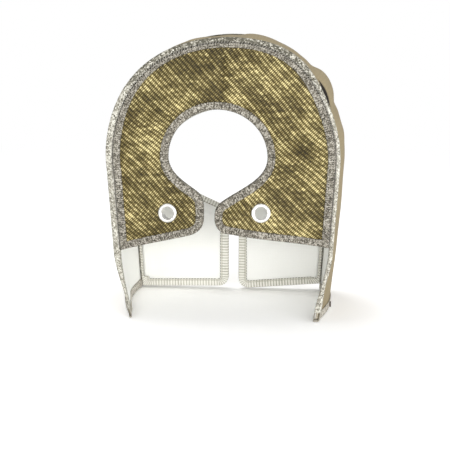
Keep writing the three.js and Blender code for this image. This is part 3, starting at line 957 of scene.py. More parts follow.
def pierce(piece: bpy.types.Object, panel: PanelPlan, radius: float) -> None:
    """Cut a round hole through a sheet at each eyelet of its panel.

    Args:
        piece: The sheet.
        panel: The panel that the eyelets belong to.
        radius: Radius of the holes, in millimetres.
    """
    for place in panel.eyelets:
        bpy.ops.object.select_all(action="DESELECT")
        bpy.ops.mesh.primitive_cylinder_add(vertices=40, radius=radius * MILLIMETRE, depth=0.04)
        cutter = bpy.context.object
        seat = panel.seat(place)
        shift = Matrix.Translation((0.0, FRONT_PLANE, 0.0))
        cutter.matrix_world = Matrix.Scale(MILLIMETRE, 4) @ shift @ seat @ Matrix.Rotation(
            math.pi / 2, 4, "X") @ Matrix.Scale(1 / MILLIMETRE, 4)
        bpy.context.view_layer.update()
        cut = piece.modifiers.new("bore", "BOOLEAN")
        cut.operation = "DIFFERENCE"
        cut.object = cutter
        apply_modifiers(piece)
        bpy.data.objects.remove(cutter, do_unlink=True)


def settle(piece: bpy.types.Object, material: bpy.types.Material, slot: str, *nodes: str) -> bpy.types.Object:
    """Dress a piece, attach it to the root, hide the CAD nodes that it replaces and report it.

    Args:
        piece: The piece.
        material: Its finish.
        slot: Not used.
        nodes: CAD nodes that it replaces.

    Returns:
        The piece.
    """
    piece.data.materials.clear()
    piece.data.materials.append(material)
    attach(piece, "root")
    if nodes:
        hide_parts(*nodes)
    log.info("%s: %d faces", piece.name, len(piece.data.polygons))
    return piece


class TapeWeave(Enum):
    """How a tape is made, which gives its relief."""

    KNIT = "knit"
    LADDER = "ladder"
    CORD = "cord"


@dataclass(frozen=True)
class FoldedTape:
    """Tape folded round an edge, in section."""

    width: float
    inner: float
    outer: float
    weave: TapeWeave
    nose: float = 1.3
    thickness: float = 0.6
    fine: float = 0.62
    relief: float = 0.24

    def section(self) -> dict[str, np.ndarray]:
        """Section of the tape.

        Returns:
            Lists by name, with a number for each point: distance from the edge, place across the thickness,
            the two parts of its outward direction, travel over the outer skin, and 1 on that skin.
        """
        count = max(3, math.ceil((self.width - self.nose) / self.fine))
        run = np.linspace(self.width, self.nose, count)[:-1]
        half = (self.outer - self.inner) / 2
        turn = np.linspace(0.0, math.pi, max(9, math.ceil(2 * half / self.fine)))
        along = np.concatenate([run, self.nose - self.nose * np.sin(turn), run[::-1]])
        rounded = np.sign(np.cos(turn)) * np.abs(np.cos(turn)) ** 0.75
        across = np.concatenate([np.full_like(run, self.inner), self.inner + half * (1 - rounded),
                                 np.full_like(run, self.outer)])
        out_along = np.concatenate([0 * run, -np.sin(turn), 0 * run])
        out_across = np.concatenate([0 * run - 1, -np.cos(turn), 0 * run + 1])
        travel = np.concatenate([[0.0], np.cumsum(np.hypot(np.diff(along), np.diff(across)))])
        floor = self.nose + 0.35
        back = np.array([[self.width, self.outer - self.thickness], [floor, self.outer - self.thickness],
                         [floor, self.inner + self.thickness], [self.width, self.inner + self.thickness]])
        none = np.zeros(4)
        return {
            "along": np.concatenate([along, back[:, 0]]),
            "across": np.concatenate([across, back[:, 1]]),
            "out_along": np.concatenate([out_along, none]),
            "out_across": np.concatenate([out_across, none]),
            "travel": np.concatenate([travel, travel[[-1, -1, 0, 0]]]),
            "skin": np.concatenate([np.ones_like(along), none]),
        }

    def height(self, travel: np.ndarray, length: np.ndarray, full: float) -> np.ndarray:
        """Relief of the tape from 0 to 1.

        Args:
            travel: Place across the tape.
            length: Place along the tape.
            full: Travel from one edge of the tape to the other.

        Returns:
            The height at each point.
        """
        if self.weave is TapeWeave.KNIT:
            wales = travel / 2.2
            chevron = np.abs(2 * (wales - np.floor(wales)) - 1)
            loops = 0.5 + 0.5 * np.cos(2 * math.pi * (length / 1.9 + 0.45 * chevron))
            return loops * (1 - 0.55 * np.maximum(0, 4 * chevron - 3))
        edge = np.minimum(travel, full - travel)
        if self.weave is TapeWeave.LADDER:
            ribs = (0.5 + 0.5 * np.cos(2 * math.pi * length / 2.7)) ** 0.55
            seam = 1 - 0.9 * np.exp(-(((edge - 1.0) / 0.5) ** 2))
            return np.where(edge < 0.9, 0.55 + 0.45 * ribs, ribs) * seam
        ribs = 0.5 + 0.5 * np.cos(2 * math.pi * (length + 0.9 * travel) / 2.4)
        return 0.6 + 0.4 * ribs

    def sweep(self, name: str, length: np.ndarray, around: bool, mapping: object) -> bpy.types.Object:
        """Sweep the section along an edge.

        Args:
            name: Name of the piece.
            length: Travel of each ring along the edge.
            around: True where the tape closes on itself.
            mapping: Function from distance from the edge and place across, as grids, to points.

        Returns:
            The piece.
        """
        cut = self.section()
        full = cut["travel"][cut["skin"] > 0].max()
        height = self.height(cut["travel"][None, :], length[:, None], full) * cut["skin"][None, :]
        push = (height - 0.5) * self.relief * cut["skin"][None, :]
        points = mapping(cut["along"][None, :] + push * cut["out_along"][None, :],
                         cut["across"][None, :] + push * cut["out_across"][None, :])
        rings, count = points.shape[:2]
        flat = np.stack(np.broadcast_arrays(cut["travel"][None, :], length[:, None]), axis=-1) * MILLIMETRE
        if around:
            faces = grid_faces(rings, count, around=True)
        else:
            faces = grid_faces(rings, count, closed=True)
            far = self.caps(cut, (rings - 1) * count, False)
            faces = np.concatenate([faces, self.caps(cut, 0, True), far])
        cloud = points.reshape(-1, 3)
        if signed_volume(cloud, faces) < 0:
            faces = faces[:, ::-1]
        return make_piece(name, cloud, faces, flat.reshape(-1, 2), "tape", {"relief": height})

    def caps(self, cut: dict[str, np.ndarray], start: int, first: bool) -> np.ndarray:
        """Quads that close an end of the tape between its outer skin and its back.

        Args:
            cut: Section of the tape.
            start: Number of the end ring's first point.
            first: True for the first end.

        Returns:
            The quads.
        """
        skin = int(cut["skin"].sum())
        middle = skin // 2
        targets = np.full(skin, skin + 1)
        targets[:middle] = skin + 2
        quads = []
        for k in range(skin - 1):
            a, b = targets[k], targets[k + 1]
            if k == 0:
                a = skin + 3
            if k == skin - 2:
                b = skin
            quads.append([k, k + 1, b, a])
        quads = np.array(quads) + start
        return quads if first else quads[:, ::-1]


def mitred(loop: np.ndarray) -> np.ndarray:
    """Inward step of each point of a closed loop for one millimetre of inset."""
    before = loop - np.roll(loop, 1, axis=0)
    after = np.roll(loop, -1, axis=0) - loop
    before /= np.linalg.norm(before, axis=1)[:, None]
    after /= np.linalg.norm(after, axis=1)[:, None]
    normal = np.stack([-before[:, 1], before[:, 0]], axis=1)
    mitre = np.stack([-before[:, 1] - after[:, 1], before[:, 0] + after[:, 0]], axis=1)
    mitre /= np.linalg.norm(mitre, axis=1)[:, None]
    return mitre / np.sum(mitre * normal, axis=1)[:, None]


def refined(loop: np.ndarray, step: np.ndarray, fine: float) -> tuple[np.ndarray, np.ndarray, np.ndarray]:
    """Cut a closed loop and its inward steps into finer pieces.

    Args:
        loop: Points of the loop.
        step: Inward step of each point.
        fine: The longest piece allowed.

    Returns:
        The finer points, their inward steps and their travel along the loop.
    """
    points, steps, travel, gone = [], [], [], 0.0
    for a, b, s, t in zip(loop, np.roll(loop, -1, axis=0), step, np.roll(step, -1, axis=0)):
        run = float(np.linalg.norm(b - a))
        part = np.arange(max(1, math.ceil(run / fine)))[:, None] / max(1, math.ceil(run / fine))
        points.append(lerp(a, b, part))
        steps.append(lerp(s, t, part))
        travel.append(gone + part[:, 0] * run)
        gone += run
    return np.concatenate(points), np.concatenate(steps), np.concatenate(travel)


@dataclass
class Panel:
    """One C-shaped panel: woven cover, fibre core, white liner and the tape folded round its edge."""

    plan: PanelPlan
    name: str
    tape_weave: TapeWeave
    tape_finish: bpy.types.Material
    tape_slot: str
    twill: bpy.types.Material
    felt: bpy.types.Material
    liner: bpy.types.Material
    rib_pitch: float = 3.2
    float_pitch: float = 1.6
    rib_angle: float = math.radians(-46.0)
    rib_height: float = 0.85
    cover_face: float = 0.9
    core_face: float = 2.6
    core_base: float = 5.4
    liner_face: float = 5.9
    liner_base: float = 6.5
    thickness: float = 7.6
    across: float = 7.0
    along: float = 3.0
    reach: float = 165.0
    cover_inset: float = 2.3
    wales_drawn: int = 400
    floats_drawn: int = 512
    rng: np.random.Generator = field(default_factory=lambda: np.random.default_rng(SEED))

    def build(self) -> None:
        """Build and dress every layer."""
        self.build_cover()
        self.build_core()
        self.build_liner()
        self.build_tape()

    def build_cover(self) -> None:
        """Twill cover: each float of each wale stands up from the cloth."""
        step_b, step_a = self.rib_pitch / self.across, self.float_pitch / self.along
        cos, sin = math.cos(self.rib_angle), math.sin(self.rib_angle)
        a = np.arange(-self.reach, self.reach, step_a)
        b = np.arange(-math.ceil(self.reach / step_b), math.ceil(self.reach / step_b)) * step_b
        grid_a, grid_b = np.meshgrid(a, b, indexing="ij")
        x = grid_a * cos - grid_b * sin
        z = PLAN.crown_height + grid_a * sin + grid_b * cos
        near = (np.abs(x) < 95.0) & (z > -1.0) & (z < 232.0)
        inside, away = np.zeros(x.shape, bool), np.zeros(x.shape)
        inside[near], away[near] = self.plan.measure(x[near], z[near])
        inside &= away > self.cover_inset
        for ex, ez in self.plan.eyelets:
            inside &= np.hypot(x - ex, z - ez) > HOLE_RADIUS
        cell = inside[:-1, :-1] & inside[1:, :-1] & inside[:-1, 1:] & inside[1:, 1:]
        number = np.arange(x.size).reshape(x.shape)
        corners = (number[:-1, :-1], number[1:, :-1], number[1:, 1:], number[:-1, 1:])
        faces = np.stack([c[cell] for c in corners], axis=1)
        used, faces = np.unique(faces, return_inverse=True)
        faces = faces.reshape(-1, 4)
        x, z, a, b, away = (v.ravel()[used] for v in (x, z, grid_a, grid_b, away))
        skew = b + 2.2 * np.sin(a / 27.0 + b / 61.0) + 0.9 * np.sin(a / 12.0 - b / 33.0 + 1.0)
        along = a + 1.6 * np.sin(b / 29.0 + 0.6) + 0.7 * np.sin(b / 13.0 + a / 41.0)
        wale = np.round(skew / self.rib_pitch).astype(int)
        local = skew / self.rib_pitch - wale
        own = wale + self.wales_drawn // 2
        start = self.rng.uniform(-0.08, 0.08, self.wales_drawn)[own]
        phase = along / self.float_pitch + start + 0.2 * local
        crown = np.clip(1 - (2 * local) ** 2, 0, 1) ** 0.6
        strand = (0.5 + 0.5 * np.cos(2 * math.pi * phase)) ** 1.1
        height = (0.16 + 0.84 * crown) * (0.4 + 0.6 * strand)
        rise = self.rib_height * height
        order = np.floor(phase + 0.5).astype(int) % self.floats_drawn
        tone = 0.5 + 0.22 * self.rng.uniform(-1, 1, (self.wales_drawn, self.floats_drawn))[own, order]
        tone = tone + 0.2 * self.rng.uniform(-1, 1, self.wales_drawn)[own]
        # Painted sheen: lighter and darker patches where the cloth's shine turns, added to the floats' random
        # tone.
        tone = tone + self.sheen_patches(x, z)
        out = self.plan.loft(x, z, away)
        points = self.plan.place(x, z, self.cover_face + self.rib_height - rise, out)
        if self.mean_facing(points, faces) * self.plan.side.value < 0:
            faces = faces[:, ::-1]
        flat = np.stack([a, b], axis=1) * MILLIMETRE
        piece = make_piece(f"{self.name}_twill_cover", points, faces, flat, "cloth",
                           {"relief": height, "tone": tone})
        settle(piece, self.twill, "twill_cloth", f"{self.name}_outer_cover")

    def sheen_patches(self, x: np.ndarray, z: np.ndarray) -> np.ndarray:
        """Lighter and darker places where the cloth's shine turns."""
        if self.plan.side is PanelSide.REAR:
            return np.zeros_like(x)
        patches = (
            Wave(-20.0, 216.0, 15.0, 24.0, 12.0, -0.34), Wave(28.0, 219.0, -15.0, 22.0, 7.0, -0.14),
            Wave(-36.0, 203.0, 35.0, 26.0, 5.0, 0.1), Wave(-52.0, 172.0, 40.0, 30.0, 5.0, 0.2),
            Wave(-64.0, 186.0, 48.0, 22.0, 4.0, -0.2), Wave(-46.0, 182.0, 42.0, 26.0, 4.0, -0.12),
            Wave(12.0, 200.0, 80.0, 20.0, 7.0, 0.14), Wave(38.0, 206.0, -30.0, 20.0, 5.0, 0.08),
            Wave(62.0, 140.0, 50.0, 20.0, 6.0, -0.18), Wave(55.0, 158.0, 28.0, 20.0, 4.0, 0.2),
            Wave(80.0, 128.0, 75.0, 24.0, 4.0, 0.14), Wave(45.0, 122.0, 60.0, 20.0, 7.0, 0.02),
            Wave(-78.0, 120.0, 80.0, 28.0, 4.0, 0.16), Wave(-66.0, 106.0, 78.0, 22.0, 4.5, -0.14),
            Wave(-1.8, 196.0, 90.0, 12.0, 2.4, -0.22), Wave(60.0, 84.0, -10.0, 26.0, 5.0, 0.1),
            Wave(-62.0, 78.0, 15.0, 22.0, 5.0, -0.08),
        )
        return sum((sheen_patch.at(x, z) for sheen_patch in patches), np.zeros_like(x))

    def mean_facing(self, points: np.ndarray, faces: np.ndarray) -> float:
        """Mean Y of the faces' normals."""
        a, b, c = (points[faces[:, k]] for k in range(3))
        return float(np.mean(np.cross(b - a, c - b)[:, 1]))

    def ladder(self, inset: float, columns: float, rows: int) -> tuple[np.ndarray, np.ndarray]:
        """Grid of points between the opening and the sewn outline.

        Args:
            inset: Distance of the grid's edge from the panel's edge.
            columns: The longest step along the edges.
            rows: Number of steps from the opening to the outline.

        Returns:
            X and Z of the grid.
        """
        left, right = self.plan.corners()
        outer = PLAN.outline(self.plan.left_foot, self.plan.right_foot, columns).points()
        inner = self.plan.opening.edge(left, right, 0.5)
        travel = np.linspace(0, 1, len(outer))
        own = np.linspace(0, 1, len(inner))
        inner = np.stack([np.interp(travel, own, inner[:, k]) for k in range(2)], axis=1)
        loop = np.concatenate([inner, outer[::-1]])
        step = mitred(loop)
        count = len(outer)
        loop = loop + step * inset
        a, b = loop[:count], loop[count:][::-1]
        t = np.linspace(0, 1, rows + 1)[None, :, None]
        grid = lerp(a[:, None, :], b[:, None, :], t)
        return grid[..., 0], grid[..., 1]

    def layer(self, name: str, face: float, back: float, inset: float, columns: float, rows: int,
              rounded: float) -> bpy.types.Object:
        """Closed layer of the panel with its eyelet holes.

        Args:
            name: Name of the piece.
            face: Depth of its outer side.
            back: Depth of its inner side.
            inset: Distance of its edge from the panel's edge.
            columns: The longest step along the edges.
            rows: Number of steps from the opening to the outline.
            rounded: How far its edges thin out.

        Returns:
            The piece.
        """
        x, z = self.ladder(inset, columns, rows)
        _, away = self.plan.measure(x, z)
        out = self.plan.loft(x, z, away)
        thin = rounded * (1 - smooth((away - inset) / 4.0))
        flat = np.stack([x, z], axis=-1) * MILLIMETRE
        outer = self.plan.place(x, z, face + thin, out)
        piece = slab_piece(name, outer, self.plan.place(x, z, back - thin, out), flat)
        pierce(piece, self.plan, HOLE_RADIUS)
        return piece

    def build_core(self) -> None:
        """Fibre core, thinned towards its edges."""
        piece = self.layer(f"{self.name}_fibre_core", self.core_face, self.core_base, 2.4, 2.2, 16, 0.7)
        settle(piece, self.felt, "fibre_core", f"{self.name}_insulation")

    def build_liner(self) -> None:
        """White liner of the inner side."""
        piece = self.layer(f"{self.name}_white_liner", self.liner_face, self.liner_base, 2.2, 1.7, 24, 0.0)
        settle(piece, self.liner, "white_liner", f"{self.name}_liner")

    def build_tape(self) -> None:
        """Tape folded round the whole edge of the panel."""
        tape = FoldedTape(self.plan.tape_width, 0.0, self.thickness, self.tape_weave)
        loop = self.plan.loop(2.2, 12.0)
        fine = 0.55 if self.tape_weave is TapeWeave.KNIT else 0.68
        points, steps, travel = refined(loop, mitred(loop), fine)
        share = self.plan.tape_share(points[:, 0], points[:, 1])[:, None]

        def mapping(along: np.ndarray, across: np.ndarray) -> np.ndarray:
            along = np.where(along > tape.nose, tape.nose + (along - tape.nose) * share, along)
            x = points[:, None, 0] + steps[:, None, 0] * along
            z = points[:, None, 1] + steps[:, None, 1] * along
            return self.plan.place(x, z, across, self.plan.lift(x, z))

        piece = tape.sweep(f"{self.name}_edge_tape", travel, True, mapping)
        settle(piece, self.tape_finish, self.tape_slot, f"{self.name}_panel_binding")


@dataclass
class Band:
    """Arched band with its two tails: tan cover, fibre core, white liner, edge tapes and hems."""

    cloth: bpy.types.Material
    felt: bpy.types.Material
    liner: bpy.types.Material
    tape: bpy.types.Material
    hem: bpy.types.Material
    tape_inner: float = 0.3
    liner_inner: float = 1.2
    core_inner: float = 2.0
    cover_inner: float = 4.1

    def build(self) -> None:
        """Build and dress every layer."""
        self.layer("band_tan_cover", self.cover_inner, self.cover_inner + 0.6, 1.0, 1.0, self.cloth,
                   "band_cloth", "band_outer_cover", 1.5)
        self.layer("band_fibre_core", self.core_inner, self.core_inner + 1.8, PLAN.pillow_share, 1.0,
                   self.felt, "fibre_core", "band_insulation", 2.6)
        self.layer("band_white_liner", self.liner_inner, self.liner_inner + 0.5, PLAN.pillow_share,
                   PLAN.pillow_share, self.liner, "white_liner", "band_liner", 1.8)
        self.edge_tape("band_front_tape", False, "band_front_binding")
        self.edge_tape("band_rear_tape", True, "band_rear_binding")
        for side, sign in (("left", -1), ("right", 1)):
            self.tail_hem(side, sign)

    def layer(self, name: str, inner: float, outer: float, inner_share: float, outer_share: float,
              material: bpy.types.Material, slot: str, node: str, step: float) -> None:
        """Closed layer of the band between its bound edges.

        Args:
            name: Name of the piece.
            inner: Distance of its inner side outside the sewn outline.
            outer: Distance of its outer side.
            inner_share: Share of the bulge that the inner side takes.
            outer_share: Share of the bulge that the outer side takes.
            material: Its finish.
            slot: The record's material slot.
            node: The CAD node that it replaces.
            step: The longest step along the band.
        """
        foot = PLAN.edge_inset + 0.2
        at = PLAN.outline(foot, foot, step)
        rim = PLAN.edge_inset + 0.3
        depth = np.linspace(rim, PLAN.band_depth - PLAN.edge_inset - 0.3, math.ceil(92.0 / step))
        travel = at.travel()
        flat = np.stack(np.broadcast_arrays(travel[:, None], depth[None, :]), axis=-1) * MILLIMETRE
        faces = [PLAN.band_points(at, depth, np.array([[d]]), s)
                 for d, s in ((inner, inner_share), (outer, outer_share))]
        crease_shade = self.crease_shade(at, depth) if slot == "band_cloth" else None
        piece = slab_piece(name, faces[0], faces[1], flat, crease_shade)
        settle(piece, material, slot, node)

    def crease_shade(self, at: Stations, depth: np.ndarray) -> np.ndarray:
        """Painted shade on the cover: in the fold on the right shoulder and along the seam behind the front
        tape.
        """
        angle = PLAN.crown_angle(at.x, at.z)[:, None]
        reach = 2.9 * (1.0 - ((angle - 34.0) / 7.0) ** 2)
        lens = np.clip(0.5 + (reach - np.abs(depth[None, :] - 12.6)) / 3.0, 0.0, 1.0)
        seam = 0.35 * np.exp(-(((depth[None, :] - 7.4) / 1.6) ** 2))
        return np.maximum(0.97 * lens, seam)

    def edge_tape(self, name: str, rear: bool, node: str) -> None:
        """Pale tape folded over the front or rear edge of the band.

        Args:
            name: Name of the piece.
            rear: True for the rear edge.
            node: The CAD node that it replaces.
        """
        foot = PLAN.hem_height + PLAN.layer_gap
        at = PLAN.outline(foot, foot, 0.7)
        tape = FoldedTape(PLAN.tape_width, self.tape_inner, PLAN.tape_outer, TapeWeave.CORD,
                          nose=1.2, relief=0.3)

        def mapping(along: np.ndarray, across: np.ndarray) -> np.ndarray:
            depth = PLAN.band_depth - along if rear else along
            return PLAN.band_points(at, depth, across)

        piece = tape.sweep(name, at.travel(), False, mapping)
        top = np.exp(-(((PLAN.crown_angle(at.x, at.z) - 92.0) / 40.0) ** 2))
        keep_numbers(piece.data, "tone", np.repeat(top, len(piece.data.vertices) // len(top)))
        settle(piece, self.tape, "pale_tape", node)
        float(at.travel()[-1]) * MILLIMETRE

    def tail_hem(self, side: str, sign: int) -> None:
        """Mottled hem tape under a tail.

        Args:
            side: Name of the side.
            sign: -1 for the left tail and 1 for the right tail.
        """
        tape = FoldedTape(PLAN.hem_height, self.tape_inner, PLAN.tape_outer, TapeWeave.KNIT, nose=1.2)
        depth = np.linspace(0.0, PLAN.band_depth, 180)

        def mapping(along: np.ndarray, across: np.ndarray) -> np.ndarray:
            rows = []
            for k, d in enumerate(depth):
                z = np.broadcast_to(along, (len(depth), along.shape[1]))[k]
                out = np.broadcast_to(across, (len(depth), across.shape[1]))[k]
                at = Stations(sign * PLAN.side_reach(z), z, np.full_like(z, sign), np.zeros_like(z))
                rows.append(PLAN.band_points(at, np.full((len(z), 1), d), out[:, None])[:, 0])
            return np.stack(rows)

        piece = tape.sweep(f"{side}_tail_hem_tape", depth, False, mapping)
        settle(piece, self.hem, "pale_tape", f"{side}_tail_hem")


@dataclass
class EyeletSet:
    """Rolled eyelets and their washers, modelled once and copied to each seat."""

    metal: bpy.types.Material
    bore: float = 5.0
    flange: float = 8.0
    wall: float = 0.6
    seat_depth: float = 5.6
    vertices: int = 64

    def ring(self, name: str, steps: list[tuple[float, float]]) -> bpy.types.Object:
        """Turn a ring from an open tube by extruding its edge loop.

        Args:
            name: Name of the ring.
            steps: Radius and depth of each further loop, from the first to the last.

        Returns:
            The ring, along its own Y axis, in metres.
        """
        bpy.ops.object.select_all(action="DESELECT")
        radius, depth = steps[0]
        bpy.ops.mesh.primitive_circle_add(
            vertices=self.vertices, radius=radius * MILLIMETRE, location=(0.0, depth * MILLIMETRE, 0.0),
            rotation=(math.pi / 2, 0.0, 0.0))
        piece = bpy.context.object
        piece.name = name
        bpy.ops.object.transform_apply(location=True, rotation=True, scale=True)
        bpy.ops.object.mode_set(mode="EDIT")
        bpy.ops.mesh.select_all(action="SELECT")
        for wide, deep in steps[1:] + steps[:1]:
            move = (0.0, (deep - depth) * MILLIMETRE, 0.0)
            bpy.ops.mesh.extrude_edges_move(
                MESH_OT_extrude_edges_indiv={}, TRANSFORM_OT_translate={"value": move})
            factor = wide / radius
            bpy.ops.transform.resize(value=(factor, 1.0, factor), center_override=(0.0, 0.0, 0.0))
            radius, depth = wide, deep
        bpy.ops.mesh.select_all(action="SELECT")
        bpy.ops.mesh.remove_doubles(threshold=1e-6)
        bpy.ops.mesh.normals_make_consistent(inside=False)
        bpy.ops.object.mode_set(mode="OBJECT")
        bpy.ops.object.shade_smooth_by_angle(angle=math.radians(40.0))
        return piece

    def rolled(self, radius_in: float, radius_out: float, face: float,
               crown: float) -> list[tuple[float, float]]:
        """Rounded lip from the bore over the crown to the rim.

        Args:
            radius_in: Radius of the bore.
            radius_out: Radius of the rim.
            face: Depth of the lip's foot.
            crown: How far the lip stands out from it.

        Returns:
            Radius and depth of each loop.
        """
        middle, half = (radius_in + radius_out) / 2, (radius_out - radius_in) / 2
        turn = np.linspace(math.pi, 0.0, 11)
        return [(middle + half * math.cos(t), face - crown * math.sin(t) ** 0.8) for t in turn]

    def build(self) -> None:
        """Build the eyelet and the washer, and set a copy in each seat."""
        barrel, roll = self.bore + self.wall, self.bore + 1.9
        seat = -0.3
        lip = self.rolled(self.bore, self.flange, seat - 0.35, 0.95)
        back = self.seat_depth + 0.8 + 0.3
        steps = lip + [
            (self.flange - 0.15, seat), (barrel + 0.2, seat), (barrel, seat + 0.25), (barrel, back),
            (roll, back), (roll + 0.1, back + 0.3), (roll - 0.4, back + 0.75), (self.bore + 0.5, back + 0.7),
            (self.bore, back + 0.3),
        ]
        eyelet = self.ring("eyelet_pattern", steps)
        inner = barrel + 0.3
        wash = self.seat_depth
        washer = self.ring("washer_pattern", [
            (inner, wash + 0.15), (inner + 0.15, wash), (7.4, wash), (7.6, wash + 0.2), (7.6, wash + 0.65),
            (7.45, wash + 0.8), (inner + 0.15, wash + 0.8), (inner, wash + 0.65),
        ])
        for panel, plan in (("front", FRONT), ("rear", REAR)):
            for side, place in zip(("left", "right"), plan.eyelets):
                for kind, pattern in (("eyelet", eyelet), ("washer", washer)):
                    self.seat(pattern, plan.seat(place), f"{panel}_{side}_{kind}")
        for pattern in (eyelet, washer):
            bpy.data.objects.remove(pattern, do_unlink=True)

    def seat(self, pattern: bpy.types.Object, seat: Matrix, node: str) -> None:
        """Copy a ring to a seat.

        Args:
            pattern: The ring.
            seat: The seat's place in millimetres.
            node: The CAD node that the copy replaces.
        """
        piece = pattern.copy()
        piece.data = pattern.data.copy()
        piece.name = f"{node}_ring"
        bpy.context.scene.collection.objects.link(piece)
        grow = Matrix.Scale(MILLIMETRE, 4)
        shift = Matrix.Translation((0.0, FRONT_PLANE, 0.0))
        piece.data.transform(grow @ shift @ seat @ grow.inverted())
        settle(piece, self.metal, "eyelet_metal", node)


@dataclass
class Stitching:
    """Sewing thread: a row of short stitches made as one piece."""

    name: str
    material: bpy.types.Material
    slot: str
    radius: float = 0.24
    sides: int = 6
    rings: int = 5

    def stitch(self, start: np.ndarray, end: np.ndarray, out: np.ndarray,
               arch: float) -> tuple[np.ndarray, np.ndarray]:
        """One stitch that rises over the cloth between its two holes.

        Args:
            start: Where it leaves the cloth.
            end: Where it goes in again.
            out: Outward direction of the cloth.
            arch: How far its middle stands out.

        Returns:
            Its points and quads.
        """
        t = np.linspace(0, 1, self.rings)[:, None]
        path = lerp(start, end, t) + out * arch * np.sin(np.pi * t)
        along = (end - start) / np.linalg.norm(end - start)
        side = np.cross(along, out)
        side /= np.linalg.norm(side)
        up = np.cross(side, along)
        turn = np.linspace(0, 2 * math.pi, self.sides, endpoint=False)
        thick = self.radius * (1 - 0.45 * np.abs(2 * t - 1) ** 3)
        around = (np.cos(turn)[None, :, None] * side + np.sin(turn)[None, :, None] * up) * thick[:, :, None]
        points = path[:, None, :] + around
        faces = grid_faces(self.rings, self.sides, closed=True)[:, [0, 3, 2, 1]]
        last = (self.rings - 1) * self.sides
        ends = np.array([[3, 2, 1, 0], [5, 4, 3, 0], [last, last + 1, last + 2, last + 3],
                         [last, last + 3, last + 4, last + 5]])
        return points.reshape(-1, 3), np.concatenate([faces, ends])

    def row(self, stitches: list[tuple[np.ndarray, np.ndarray, np.ndarray]], arch: float) -> None:
        """Make a row of stitches as one piece.

        Args:
            stitches: Start, end and outward direction of each stitch.
            arch: How far each stands out.
        """
        clouds, quads, gone = [], [], 0
        for start, end, out in stitches:
            points, faces = self.stitch(start, end, out, arch)
            clouds.append(points)
            quads.append(faces + gone)
            gone += len(points)
        settle(make_piece(self.name, np.concatenate(clouds), np.concatenate(quads)), self.material, self.slot)


def whip_stitches(pitch: float = 2.3) -> list[tuple[np.ndarray, np.ndarray, np.ndarray]]:
    """Slanted stitches that sew the front panel's tape to the band's front tape.

    Args:
        pitch: Distance between stitches.

    Returns:
        Start, end and outward direction of each stitch.
    """
    at = PLAN.outline(FRONT.left_foot, FRONT.right_foot, pitch)
    nose = np.array([0.0, -1.0, 0.0])
    stitches = []
    for k in range(2, len(at.x) - 2):
        def point(step: int, distance: float, depth: float) -> np.ndarray:
            i = k + step
            return np.array([at.x[i] + at.nx[i] * distance, depth, at.z[i] + at.nz[i] * distance])
        start, end = point(0, -1.5, 0.1), point(1, 2.3, 0.35)
        stitches.append((start, end, nose))
    return stitches


def run_stitches(plan: PanelPlan, inset: float, depth: float, pitch: float,
                 share: float) -> list[tuple[np.ndarray, np.ndarray, np.ndarray]]:
    """Running stitches along the inner side of a panel's tape.

    Args:
        plan: The panel.
        inset: Distance of the row from the panel's edge.
        depth: Depth of the cloth that they lie on, behind the panel's outer face.
        pitch: Distance between stitches.
        share: Share of the pitch that a stitch covers.

    Returns:
        Start, end and outward direction of each stitch.
    """
    loop = plan.loop(2.2, 12.0)
    points, steps, _ = refined(loop, mitred(loop), 0.4)
    row = points + steps * (inset * plan.tape_share(points[:, 0], points[:, 1])[:, None])
    gone = np.concatenate([[0.0], np.cumsum(np.linalg.norm(np.diff(row, axis=0), axis=1))])
    out = np.array([0.0, -float(plan.side.value), 0.0])
    stitches = []
    for k in range(int(gone[-1] / pitch)):
        ends = []
        for s in (k * pitch, (k + share) * pitch):
            x, z = (np.array([np.interp(s, gone, row[:, c])]) for c in range(2))
            ends.append(plan.place(x, z, depth, plan.lift(x, z))[0])
        stitches.append((ends[0], ends[1], out))
    return stitches


@dataclass
class CornerShadowBar:
    """Small dark bar low on the right tail, a painted shadow set where the hem's corner falls in shade."""

    thread: bpy.types.Material
    place: tuple[float, float, float] = (91.2, 3.2, 15.6)
    size: tuple[float, float, float] = (1.5, 2.2, 4.4)

    def build(self) -> None:
        """Model the bar from a cube with bevelled edges and wound grooves."""
        bpy.ops.object.select_all(action="DESELECT")
        centre = to_frame(np.array([self.place]))[0]
        bpy.ops.mesh.primitive_cube_add(size=1.0, location=centre.tolist())
        piece = bpy.context.object
        piece.name = "right_tail_corner_shadow_bar"
        piece.scale = [v * MILLIMETRE for v in self.size]
        bpy.ops.object.transform_apply(location=True, rotation=True, scale=True)
        bpy.ops.object.mode_set(mode="EDIT")
        bpy.ops.mesh.select_all(action="SELECT")
        bpy.ops.mesh.subdivide(number_cuts=7)
        bpy.ops.object.mode_set(mode="OBJECT")
        middle = float(centre[2])
        for vertex in piece.data.vertices:
            row = round((vertex.co.z - middle) / (self.size[2] * MILLIMETRE / 8))
            pull = 0.86 if row % 2 else 1.0
            vertex.co.x = centre[0] + (vertex.co.x - centre[0]) * pull
            vertex.co.y = centre[1] + (vertex.co.y - centre[1]) * pull
        bevel = piece.modifiers.new("soft_edges", "BEVEL")
        bevel.width = 0.0003
        bevel.segments = 2
        bevel.limit_method = "ANGLE"
        apply_modifiers(piece)
        bpy.ops.object.shade_smooth_by_angle(angle=math.radians(60.0))
        settle(piece, self.thread, "knit_tape")


